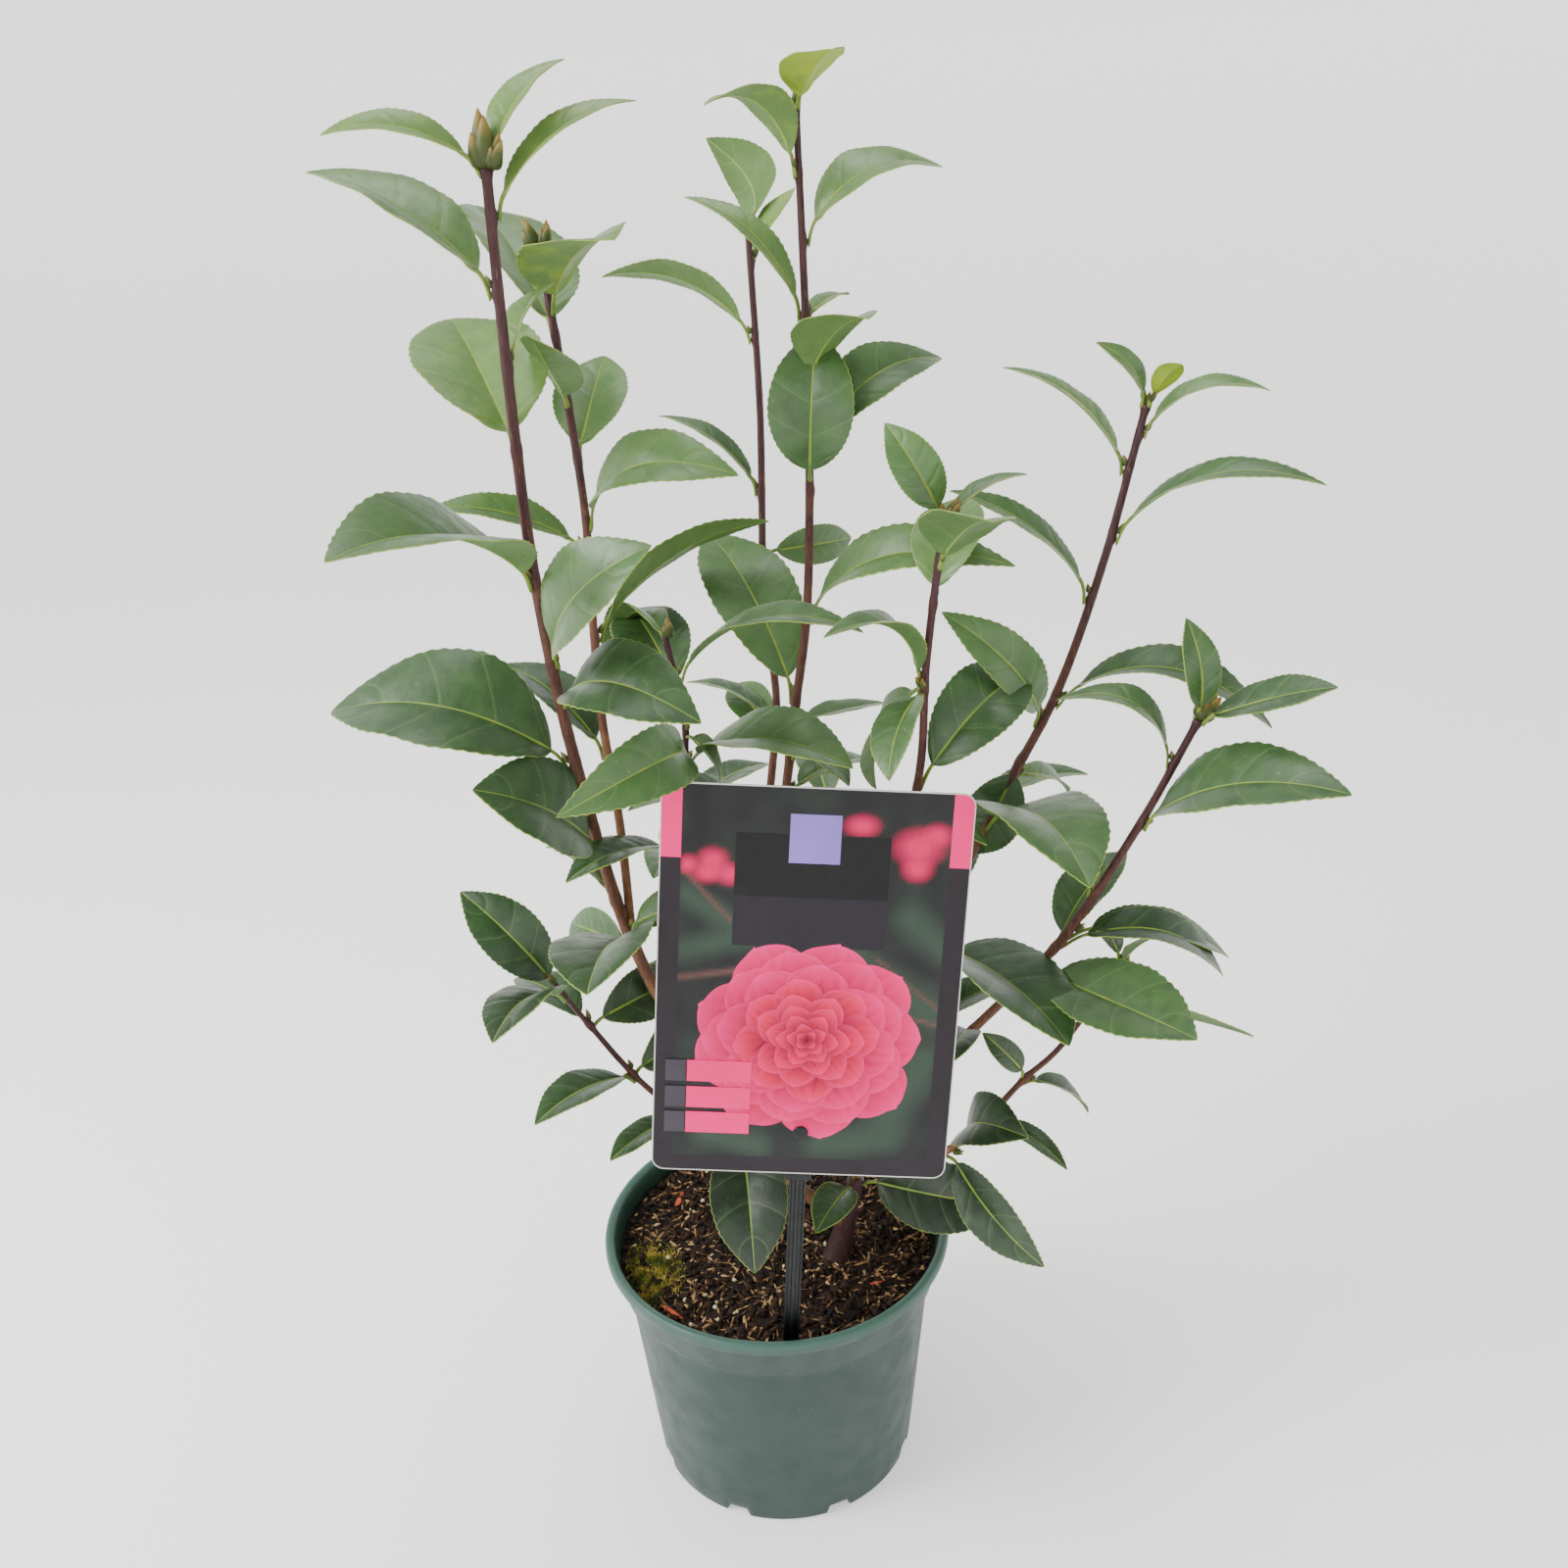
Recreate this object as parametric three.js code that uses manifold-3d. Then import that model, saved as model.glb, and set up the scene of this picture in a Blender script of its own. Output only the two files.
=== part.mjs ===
// A young camellia in a round nursery pot: one short trunk, thirteen slim shoots,
// and leaves that stand off each shoot one by one, with a printed card on a stick.
// Millimetres, +Z up; the origin is the middle of the pot's flat underside.

import * as THREE from 'three';
import { mergeVertices } from 'three/addons/utils/BufferGeometryUtils.js';
import Module from 'manifold-3d';

const wasm = await Module();
wasm.setup();

// ---------------------------------------------------------------- driving dimensions

const clearance = 0.3;

const pot = {
  height: 145,
  lipRadius: 95,
  lipHeight: 7,
  collarTopRadius: 91.3,
  collarFootRadius: 86.8,
  collarDepth: 27,
  stepHeight: 3,
  shoulderRadius: 84,
  footRadius: 72.5,
  wall: 2,
  floor: 3,
  sides: 20,
  drains: 8,
  drainWidth: 14,
  drainHeight: 6,
  drainDepth: 7,
};

const soil = { level: 133, waves: 1.6 };

const card = {
  width: 140,
  height: 192,
  thickness: 1,
  corner: 6,
  foot: [13, -80, 238],
  lean: 7,
  tilt: -5,
  holeHeight: 22,
  holeRadius: 2,
};

const stick = {
  width: 8,
  thickness: 3,
  lean: 0.8,
  tilt: -4,
  length: 118,
  headWidth: 13,
  headHeight: 4,
  buttonRadius: 3.6,
  buttonHeight: 1.2,
};

// A leaf as a thin keeled pad: how far along it, the share of its width there, and how
// far its keel stands below the rib there
const leafStations = [
  [0, 0.08, 1.4],
  [0.2, 0.72, 1.6],
  [0.62, 0.92, 1.6],
  [1, 0.05, 0.6],
];
const shortLeaf = 97;
const shortLeafStations = [
  [0, 0.08, 1.4],
  [0.45, 1, 1.6],
  [1, 0.05, 0.6],
];
const leafFold = 12;
// A pad stands further out past a leaf's thin edges than over its face
const thinEdge = 8;
const collarWall = 2.6;
const budLength = 14;
const limbSides = 4;
const limbStep = 75;

// Leaves of a stretch of shoot that carries them in a plain spiral, two turns to five leaves
const spiralTurn = 144;

function spiral({ from, to, count, bearing, rise, length }) {
  return Array.from({ length: count }, (_, i) => {
    const share = from + ((to - from) * i) / Math.max(1, count - 1);
    const stretch = 1 + 0.12 * Math.sin(2.3 * i);
    return [share, bearing + spiralTurn * i, rise + 8 * Math.cos(1.7 * i), length * stretch, 0.5, 0.1, 0];
  });
}

// Each shoot: its line from foot to tip, its radius at both, where its foliage is parted
// into masses, and its leaves. A leaf is the share of the shoot's length where it stands,
// its bearing from +X and its rise in degrees, its length, its width and its arch as
// shares of that length, and how far it is rolled about itself in degrees.
const trunk = {
  line: [[32, -16, 130], [38, -12, 152], [44, -6, 176]],
  foot: 6.5,
  tip: 4,
  parts: [0],
  leaves: [
    [0.95, -120, 0, 40, 0.7, 0.1, 10],
    [1, -15, -5, 76, 0.64, 0.1, -60],
  ],
};

const shoots = {
  left_leader: {
    line: [[36, -13, 150], [-5, -18, 205], [-59, -22, 322], [-80, -28, 427], [-89, -36, 518],
      [-90, -44, 615], [-89, -48, 685]],
    foot: 3.6,
    tip: 2,
    parts: [0, 0.45, 0.68, 0.9],
    leaves: [
      [0.16, -85, -35, 72, 0.7, 0.1, 0],
      [0.37, 135, -5, 50, 0.58, 0.05, 50],
      [0.38, -95, 15, 86, 0.72, 0.08, -10],
      [0.39, -40, 30, 56, 0.46, 0.05, -40],
      [0.42, 135, 15, 50, 0.58, 0.1, -20],
      [0.47, -135, 40, 78, 0.8, 0.1, 50],
      [0.55, 175, 15, 112, 0.7, 0.16, 25],
      [0.61, -40, 5, 82, 0.64, 0.2, -30],
      [0.64, -40, 45, 84, 0.64, 0.14, -65],
      [0.71, -120, 20, 116, 0.58, 0.1, 15],
      [0.81, 115, 30, 96, 0.76, 0.02, 5],
      [0.87, 55, 45, 40, 0.78, 0.08, 20],
      [0.92, 170, 35, 84, 0.62, 0.08, 10],
      [0.97, 20, 35, 70, 0.28, 0.12, -20],
      [1, -170, 15, 58, 0.36, 0.14, 30],
      [1, 40, 45, 52, 0.46, 0.1, -5],
    ],
  },
  left_inner: {
    line: [[-63, -22, 345], [-65, -14, 395], [-70, -5, 447], [-71, 2, 488], [-71, 10, 541],
      [-82, 25, 653]],
    foot: 2.2,
    tip: 1.8,
    parts: [0, 0.65, 0.85],
    leaves: [
      [0.27, 145, 30, 72, 0.52, 0.1, 0],
      [0.45, 30, 25, 100, 0.34, 0.1, 45],
      [0.58, -175, 20, 70, 0.36, 0.1, 25],
      [0.62, -30, 20, 82, 0.56, 0.22, -35],
      [0.71, 80, 35, 66, 0.66, 0, -5],
      [0.79, -95, 35, 58, 0.6, -0.02, 25],
      [0.88, 120, 35, 96, 0.7, 0.04, -15],
      [0.92, -60, 25, 74, 0.78, 0.08, -10],
    ],
  },
  left_low: {
    line: [[38, -12, 155], [-10, -22, 205], [-58, -30, 252], [-86, -40, 301], [-99, -46, 328]],
    foot: 2,
    tip: 1.3,
    parts: [0, 0.8],
    leaves: [
      [0.52, -130, 5, 50, 0.46, 0.05, 0],
      [0.68, -130, 10, 64, 0.52, 0.08, 0],
      [0.69, 55, 0, 48, 0.7, 0.1, -60],
      [0.86, 45, 0, 60, 0.58, 0.1, -50],
      [0.86, 140, 10, 52, 0.58, 0.1, 0],
      [0.96, -110, 15, 66, 0.64, 0.12, -10],
      [0.98, 170, 50, 64, 0.58, 0.12, 45],
    ],
  },
  centre_back: {
    line: [[44, -6, 176], [25, 25, 260], [5, 50, 345], [12, 66, 425], [8, 72, 473],
      [10, 84, 570], [8, 95, 654]],
    foot: 2.6,
    tip: 1.6,
    parts: [0, 0.6, 0.85],
    leaves: [
      ...spiral({ from: 0.25, to: 0.42, count: 2, bearing: 60, rise: 15, length: 70 }),
      [0.49, 120, 25, 46, 0.64, 0.1, 20],
      [0.51, 155, 20, 52, 0.52, 0.1, -10],
      [0.69, 25, 0, 50, 0.52, 0.1, -80],
      [0.75, 155, 35, 64, 0.34, 0.1, 0],
      [0.9, -175, 25, 76, 0.4, 0.16, -30],
      [0.97, 35, 50, 40, 0.52, 0.05, 0],
      [1, 110, 40, 60, 0.7, 0.22, -105],
    ],
  },
  centre_leader: {
    line: [[44, -6, 176], [22, 4, 280], [12, 8, 360], [21, 12, 439], [28, 14, 485],
      [32, 16, 571], [31, 22, 705]],
    foot: 3,
    tip: 1.5,
    parts: [0, 0.45, 0.65, 0.82],
    leaves: [
      ...spiral({ from: 0.2, to: 0.42, count: 3, bearing: 110, rise: 10, length: 66 }),
      [0.46, -55, 0, 44, 0.52, 0.1, 10],
      [0.49, 30, 0, 50, 0.46, 0, 0],
      [0.51, 120, 40, 104, 0.54, 0.12, 10],
      [0.59, -30, 20, 104, 0.34, 0.2, -35],
      [0.7, 35, 85, 68, 0.72, 0.2, -50],
      [0.73, 20, 30, 74, 0.52, 0.24, -35],
      [0.79, -65, 30, 62, 0.7, 0.1, 0],
      [0.84, 160, 45, 72, 0.28, 0.14, 20],
      [0.84, 60, 10, 40, 0.4, 0.05, 0],
      [0.9, 10, 25, 66, 0.62, 0.2, -20],
      [0.95, -140, 30, 54, 0.6, 0.26, -10],
      [1, -70, 25, 42, 0.8, 0.04, -5],
    ],
  },
  centre_short: {
    line: [[5, -4, 270], [-25, -8, 330], [-38, -10, 370], [-31, -10, 440], [-37, -10, 486]],
    foot: 2,
    tip: 1.3,
    parts: [0, 0.8],
    leaves: [
      ...spiral({ from: 0.3, to: 0.52, count: 2, bearing: 80, rise: 10, length: 60 }),
      [0.74, -120, 5, 92, 0.42, 0.26, 55],
      [0.73, -35, 10, 92, 0.6, 0.12, -5],
      [0.79, -65, -20, 42, 0.58, 0.1, 80],
      [0.87, 115, 25, 66, 0.7, 0.1, 10],
      [0.91, -25, 20, 96, 0.34, 0.16, -5],
      [0.98, 125, -15, 62, 0.46, 0.28, -20],
    ],
  },
  front_right: {
    line: [[44, -6, 176], [50, -14, 260], [58, -24, 340], [76, -34, 422], [78, -46, 478],
      [84, -58, 545]],
    foot: 2.6,
    tip: 1.6,
    parts: [0, 0.63, 0.87],
    leaves: [
      ...spiral({ from: 0.25, to: 0.6, count: 3, bearing: 30, rise: 10, length: 56 }),
      [0.65, 35, 30, 78, 0.58, 0.28, -35],
      [0.79, -155, 35, 56, 0.58, 0.28, 0],
      [0.79, -115, -25, 52, 0.58, 0.1, -20],
      [0.8, 135, -60, 66, 0.58, 0.1, 30],
      [0.9, 65, 40, 56, 0.7, 0.1, 0],
      [0.95, -75, 30, 62, 0.76, 0.06, 10],
      [1, 15, 25, 38, 0.44, 0.08, 0],
      [1, 175, 60, 44, 0.58, 0.14, 75],
    ],
  },
  right_leader: {
    line: [[44, -6, 176], [70, 0, 255], [90, 2, 325], [116, 4, 385], [145, 8, 441],
      [166, 12, 504], [184, 18, 576]],
    foot: 3,
    tip: 1.8,
    parts: [0, 0.45, 0.62, 0.85],
    leaves: [
      ...spiral({ from: 0.16, to: 0.3, count: 2, bearing: 70, rise: 15, length: 66 }),
      [0.34, -60, 0, 102, 0.7, 0.06, 10],
      [0.42, 110, 20, 70, 0.5, 0.1, 0],
      [0.51, -75, 10, 106, 0.66, 0.14, 5],
      [0.57, 35, -25, 42, 0.52, 0.1, -20],
      [0.59, 175, -65, 54, 0.7, 0.1, 80],
      [0.64, -160, 50, 78, 0.42, 0.18, 75],
      [0.67, -25, 0, 98, 0.34, 0.24, -15],
      [0.79, -175, 40, 84, 0.28, 0.1, 25],
      [0.86, -30, 20, 94, 0.28, 0.16, -15],
      [0.93, 160, 40, 72, 0.4, 0.1, 0],
      [0.97, -10, 20, 56, 0.42, 0.18, -10],
      [1, -165, 50, 36, 0.42, 0.14, 55],
      [1, -60, 45, 26, 0.56, 0.1, 35],
    ],
  },
  right_outer: {
    line: [[47, -8, 200], [96, -16, 263], [144, -30, 329], [176, -40, 393], [199, -46, 448]],
    foot: 2.7,
    tip: 1.8,
    parts: [0, 0.5, 0.75],
    leaves: [
      ...spiral({ from: 0.18, to: 0.32, count: 2, bearing: 100, rise: 15, length: 60 }),
      [0.49, -60, 10, 102, 0.54, -0.02, -20],
      [0.45, -10, -10, 112, 0.4, 0, 30],
      [0.54, 35, 40, 58, 0.64, 0.1, 0],
      [0.56, 0, -15, 82, 0.4, 0.22, -15],
      [0.58, 10, -15, 88, 0.4, 0.1, -10],
      [0.66, -175, 55, 44, 0.7, 0.15, 0],
      [0.81, -45, 25, 100, 0.54, 0.12, -25],
      [0.92, 165, 30, 58, 0.44, 0.28, 10],
      [1, -35, 25, 60, 0.48, 0.02, -25],
      [1, 145, 80, 44, 0.5, 0.18, 45],
    ],
  },
  right_low: {
    line: [[46, -8, 182], [95, -14, 199], [134, -6, 235], [152, -2, 250], [186, 12, 292]],
    foot: 2,
    tip: 1.3,
    parts: [0, 0.5],
    leaves: [
      [0.27, -55, -25, 74, 0.46, 0.1, -60],
      [0.33, -65, 35, 60, 0.7, 0.2, -40],
      [0.41, -50, 0, 52, 0.34, 0.1, 0],
      [0.57, 10, -35, 44, 0.52, 0.1, 0],
      [0.58, -180, 50, 34, 0.52, 0.1, 60],
      [0.99, -45, 45, 40, 0.52, 0.1, 10],
      [1, 100, 15, 30, 0.52, 0.1, 0],
    ],
  },
  back_left: {
    line: [[44, -6, 176], [20, 40, 230], [-25, 80, 285], [-45, 100, 345]],
    foot: 2.4,
    tip: 1.5,
    parts: [0, 0.72],
    leaves: spiral({ from: 0.35, to: 1, count: 6, bearing: 40, rise: 18, length: 74 }),
  },
  back_centre: {
    line: [[44, -6, 176], [50, 50, 225], [45, 92, 280], [40, 116, 340]],
    foot: 2.4,
    tip: 1.5,
    parts: [0, 0.72],
    leaves: spiral({ from: 0.35, to: 1, count: 6, bearing: 100, rise: 18, length: 74 }),
  },
  back_right: {
    line: [[44, -6, 176], [75, 40, 230], [105, 78, 285], [120, 96, 345]],
    foot: 2.4,
    tip: 1.5,
    parts: [0, 0.72],
    leaves: spiral({ from: 0.35, to: 1, count: 6, bearing: 10, rise: 18, length: 74 }),
  },
};

// ---------------------------------------------------------------- colours

const finish = (color, roughness) => new THREE.MeshStandardMaterial({ color, roughness, metalness: 0 });
const potFinish = finish(0x456a5c, 0.6);
const soilFinish = finish(0x2a1f1a, 0.95);
const barkFinish = finish(0x5f4540, 0.7);
const leafFinish = finish(0x557850, 0.45);
const cardFinish = finish(0x453c43, 0.45);
const stickFinish = finish(0x26312f, 0.5);

// ---------------------------------------------------------------- solids

function solid(geometry) {
  const bare = geometry.clone();
  bare.deleteAttribute('normal');
  bare.deleteAttribute('uv');
  const merged = mergeVertices(bare, 1e-4);
  return new wasm.Manifold(new wasm.Mesh({
    numProp: 3,
    vertProperties: new Float32Array(merged.attributes.position.array),
    triVerts: new Uint32Array(merged.index.array),
  }));
}

function part(name, body, material) {
  const shape = body.getMesh();
  const geometry = new THREE.BufferGeometry();
  geometry.setAttribute('position', new THREE.BufferAttribute(new Float32Array(shape.vertProperties), 3));
  geometry.setIndex(new THREE.BufferAttribute(new Uint32Array(shape.triVerts), 1));
  geometry.computeVertexNormals();
  const mesh = new THREE.Mesh(geometry, material);
  mesh.name = name;
  return mesh;
}

// Skin rings of equal point count, each turning left about the way the body runs
function loft(rings) {
  const count = rings[0].length;
  const last = (rings.length - 1) * count;
  const faces = [];
  for (let start = 0; start < last; start += count) {
    for (let i = 0; i < count; i += 1) {
      const a = start + i;
      const b = start + ((i + 1) % count);
      faces.push(a, b, b + count, a, b + count, a + count);
    }
  }
  for (let i = 1; i + 1 < count; i += 1) {
    faces.push(0, i + 1, i, last, last + i, last + i + 1);
  }
  const geometry = new THREE.BufferGeometry().setFromPoints(rings.flat());
  geometry.setIndex(faces);
  return solid(geometry);
}

// ---------------------------------------------------------------- limbs and leaves

const curveOf = ({ line }) => new THREE.CatmullRomCurve3(line.map((p) => new THREE.Vector3(...p)));

function ringAcross(curve, share, radius, shift = 0) {
  const along = curve.getTangentAt(share);
  const first = new THREE.Vector3(0, 1, 0).addScaledVector(along, -along.y).normalize();
  const second = along.clone().cross(first);
  const middle = curve.getPointAt(share).addScaledVector(along, shift);
  return Array.from({ length: limbSides }, (_, i) => {
    const turn = (2 * Math.PI * i) / limbSides;
    return middle.clone()
      .addScaledVector(first, radius * Math.cos(turn))
      .addScaledVector(second, radius * Math.sin(turn));
  });
}

// A tapering limb; a pad on it makes the room that its neighbours leave
function limb(shoot, pad = 0) {
  const curve = curveOf(shoot);
  const steps = Math.max(3, Math.round(curve.getLength() / limbStep));
  const rings = [];
  for (let i = 0; i <= steps; i += 1) {
    const share = i / steps;
    const flare = shoot === trunk ? 0.35 * Math.exp(-6 * share) : 0;
    const radius = THREE.MathUtils.lerp(shoot.foot, shoot.tip, share) * (1 + flare) + pad;
    const end = i === 0 ? -pad : i === steps ? pad : 0;
    rings.push(ringAcross(curve, share, radius, end));
  }
  return loft(rings);
}

// The sleeve that joins a mass's leaves round their shoot, with the bud past the tip
function collar(shoot, from, to, pad) {
  const curve = curveOf(shoot);
  const steps = to - from > 0.12 ? 2 : 1;
  const rings = [];
  for (let i = 0; i <= steps; i += 1) {
    const share = THREE.MathUtils.lerp(from, to, i / steps);
    const radius = THREE.MathUtils.lerp(shoot.foot, shoot.tip, share) + collarWall + pad;
    rings.push(ringAcross(curve, share, radius, i === 0 ? -pad : to < 1 && i === steps ? pad : 0));
  }
  if (to === 1) rings.push(ringAcross(curve, 1, 1 + pad, budLength + pad));
  return loft(rings);
}

function leaf(shoot, [share, bearing, rise, length, width, arch, roll], pad = 0) {
  const [turn, climb, lay, fold] = [bearing, rise, roll, leafFold].map(THREE.MathUtils.degToRad);
  const along = new THREE.Vector3(
    Math.cos(climb) * Math.cos(turn),
    Math.cos(climb) * Math.sin(turn),
    Math.sin(climb),
  );
  const level = along.clone().cross(new THREE.Vector3(0, 0, 1)).normalize();
  const upright = level.clone().cross(along);
  const side = level.clone().multiplyScalar(Math.cos(lay)).addScaledVector(upright, Math.sin(lay));
  const face = upright.clone().multiplyScalar(Math.cos(lay)).addScaledVector(level, -Math.sin(lay));
  const radius = THREE.MathUtils.lerp(shoot.foot, shoot.tip, share);
  const base = curveOf(shoot).getPointAt(share).addScaledVector(along, radius + clearance);
  const stations = length < shortLeaf ? shortLeafStations : leafStations;
  const rings = stations.map(([reach, breadth, keel]) => {
    const half = (breadth * width * length) / 2;
    const run = reach * length + (2 * reach - 1) * pad;
    const rib = base.clone()
      .addScaledVector(along, run)
      .addScaledVector(face, arch * length * 4 * reach * (1 - reach));
    const edge = half * Math.tan(fold);
    const out = half + thinEdge * pad;
    const section = [[out, edge + pad], [0, -keel - 2 * pad], [-out, edge + pad]];
    return section.map(([across, up]) => (
      rib.clone().addScaledVector(side, across).addScaledVector(face, up)
    ));
  });
  return loft(rings);
}

function mass(shoot, rows, pad = 0) {
  const shares = rows.map((row) => row[0]);
  const top = Math.max(...shares);
  const low = Math.max(0.02, Math.min(...shares) - 0.015);
  const sleeve = collar(shoot, low, top > 0.97 ? 1 : top + 0.015, pad);
  return rows.reduce((body, row) => body.add(leaf(shoot, row, pad)), sleeve);
}

// The main piece that a cut leaves, without slivers and steps too small to see
const sliver = 0.25;
const largest = (body) => (
  body.simplify(sliver).decompose().sort((a, b) => b.volume() - a.volume())[0]
);

// ---------------------------------------------------------------- pot and compost

function potWall() {
  const { height, wall, floor } = pot;
  const step = height - pot.collarDepth - pot.stepHeight;
  const profile = [
    [0, 0],
    [pot.footRadius, 0],
    [pot.shoulderRadius, step],
    [pot.collarFootRadius, step + pot.stepHeight],
    [pot.collarTopRadius, height - pot.lipHeight],
    [pot.lipRadius, height - pot.lipHeight],
    [pot.lipRadius, height],
    [pot.collarTopRadius - wall, height],
    [pot.collarTopRadius - wall, height - pot.lipHeight],
    [pot.collarFootRadius - wall, step + pot.stepHeight],
    [pot.shoulderRadius - wall, step],
    [pot.footRadius - wall, floor],
    [0, floor],
  ];
  return solid(turned(profile));
}

// A lathe turns about Y, so it is stood up to turn about Z
function turned(profile) {
  const geometry = new THREE.LatheGeometry(profile.map(([r, z]) => new THREE.Vector2(r, z)), pot.sides);
  return geometry.rotateX(Math.PI / 2);
}

function drains() {
  const cuts = [];
  for (let i = 0; i < pot.drains; i += 1) {
    const cut = new THREE.BoxGeometry(2 * pot.drainDepth, pot.drainWidth, 2 * pot.drainHeight);
    cut.translate(pot.footRadius, 0, 0);
    cut.rotateZ((2 * Math.PI * (i + 0.5)) / pot.drains);
    cuts.push(solid(cut));
  }
  return cuts;
}

function compost() {
  const inner = (radius) => radius - pot.wall - clearance;
  const step = pot.height - pot.collarDepth - pot.stepHeight;
  const edge = soil.level - 2 * soil.waves;
  const rise = (edge - step - pot.stepHeight) / (pot.collarDepth - pot.lipHeight);
  const rim = inner(THREE.MathUtils.lerp(pot.collarFootRadius, pot.collarTopRadius, rise));
  const rings = [0.8, 0.4];
  const profile = [
    [0, pot.floor + clearance],
    [inner(pot.footRadius), pot.floor + clearance],
    [inner(pot.shoulderRadius), step],
    [inner(pot.collarFootRadius), step + pot.stepHeight],
    [rim, edge],
    ...rings.map((share) => [rim * share, soil.level - soil.waves]),
    [0, soil.level - soil.waves],
  ];
  const geometry = turned(profile);
  const spot = geometry.attributes.position;
  for (let i = 0; i < spot.count; i += 1) {
    const [x, y, z] = [spot.getX(i), spot.getY(i), spot.getZ(i)];
    const radius = Math.hypot(x, y);
    if (z > soil.level - 2 * soil.waves + 0.1 && radius > 1) {
      spot.setZ(i, z + soil.waves * Math.sin(0.09 * x + 1) * Math.cos(0.07 * y));
    }
  }
  return solid(geometry);
}

// ---------------------------------------------------------------- card and stick

function leaned(geometry, lean, tilt) {
  geometry.rotateZ(THREE.MathUtils.degToRad(tilt));
  geometry.rotateX(Math.PI / 2 - THREE.MathUtils.degToRad(lean));
  return geometry.translate(...card.foot);
}

function cardSheet(pad = 0) {
  const half = card.width / 2 + pad;
  const top = card.height + pad;
  const r = card.corner;
  const outline = new THREE.Shape();
  outline.moveTo(-half + r, -pad);
  outline.lineTo(half - r, -pad);
  outline.absarc(half - r, r - pad, r, -Math.PI / 2, 0);
  outline.lineTo(half, top - r);
  outline.absarc(half - r, top - r, r, 0, Math.PI / 2);
  outline.lineTo(-half + r, top);
  outline.absarc(-half + r, top - r, r, Math.PI / 2, Math.PI);
  outline.lineTo(-half, r - pad);
  outline.absarc(-half + r, r - pad, r, Math.PI, 1.5 * Math.PI);
  const depth = card.thickness + 2 * pad;
  const sheet = new THREE.ExtrudeGeometry(outline, { depth, bevelEnabled: false, curveSegments: 2 });
  return solid(leaned(sheet.translate(0, 0, -pad), card.lean, card.tilt));
}

function pegHole() {
  const hole = new THREE.CylinderGeometry(card.holeRadius, card.holeRadius, 6, 8);
  hole.rotateX(Math.PI / 2).translate(0, card.holeHeight, 0);
  return solid(leaned(hole, card.lean, card.tilt));
}

function stickBody(pad = 0) {
  const grow = 2 * pad;
  const bar = new THREE.BoxGeometry(stick.width + grow, stick.length + grow, stick.thickness + grow);
  bar.translate(0, -stick.length / 2 - 1.5, -stick.thickness / 2);
  const head = new THREE.BoxGeometry(stick.headWidth + grow, stick.headHeight + grow, stick.thickness + grow);
  head.translate(0, -stick.headHeight / 2 - clearance, -stick.thickness / 2 - clearance);
  const tongueLength = card.holeHeight + stick.headHeight + 4;
  const tongue = new THREE.BoxGeometry(stick.width + grow, tongueLength + grow, 2 + grow);
  tongue.translate(0, tongueLength / 2 - stick.headHeight, -1 - clearance);
  const shankRadius = card.holeRadius - clearance;
  const shank = new THREE.CylinderGeometry(shankRadius, shankRadius, 4, 8);
  shank.rotateX(Math.PI / 2).translate(0, card.holeHeight, 0.8);
  const button = new THREE.CylinderGeometry(stick.buttonRadius, stick.buttonRadius, stick.buttonHeight, 8);
  const buttonMiddle = card.thickness + clearance + stick.buttonHeight / 2;
  button.rotateX(Math.PI / 2).translate(0, card.holeHeight, buttonMiddle);
  return [head, tongue, shank, button].reduce(
    (body, piece) => body.add(solid(leaned(piece, card.lean, card.tilt))),
    solid(leaned(bar, stick.lean, stick.tilt)),
  );
}

// ---------------------------------------------------------------- the plant in its pot

const plant = new THREE.Group();

const taken = [];
function claim(body) {
  taken.push(body);
}
function fitted(body) {
  const box = (b) => b.boundingBox();
  const apart = (a, b) => [0, 1, 2].some((k) => a.min[k] > b.max[k] || b.min[k] > a.max[k]);
  return largest(taken.reduce(
    (left, other) => (apart(box(left), box(other)) ? left : left.subtract(other)),
    body,
  ));
}

const potBody = drains().reduce((body, cut) => body.subtract(cut), potWall());
const soilBody = compost().subtract(limb(trunk, clearance)).subtract(stickBody(clearance));
plant.add(part('pot', potBody, potFinish));
plant.add(part('compost', largest(soilBody), soilFinish));
plant.add(part('label_card', cardSheet().subtract(pegHole()), cardFinish));
plant.add(part('label_stick', stickBody(), stickFinish));

claim(cardSheet(clearance).add(stickBody(clearance)));

plant.add(part('trunk', limb(trunk), barkFinish));
claim(limb(trunk, clearance));

for (const [name, shoot] of Object.entries(shoots)) {
  plant.add(part(`bough_${name}`, fitted(limb(shoot)), barkFinish));
  claim(limb(shoot, clearance));
}

for (const [name, shoot] of Object.entries({ trunk, ...shoots })) {
  shoot.parts.forEach((from, i) => {
    const to = shoot.parts[i + 1] ?? 1.01;
    const rows = shoot.leaves.filter(([share]) => share >= from && share < to);
    plant.add(part(`foliage_${name}_${i + 1}`, fitted(mass(shoot, rows)), leafFinish));
    claim(mass(shoot, rows, clearance));
  });
}

export default plant;
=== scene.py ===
import math

import bpy
import numpy as np
from mathutils import Matrix, Vector, noise


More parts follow.
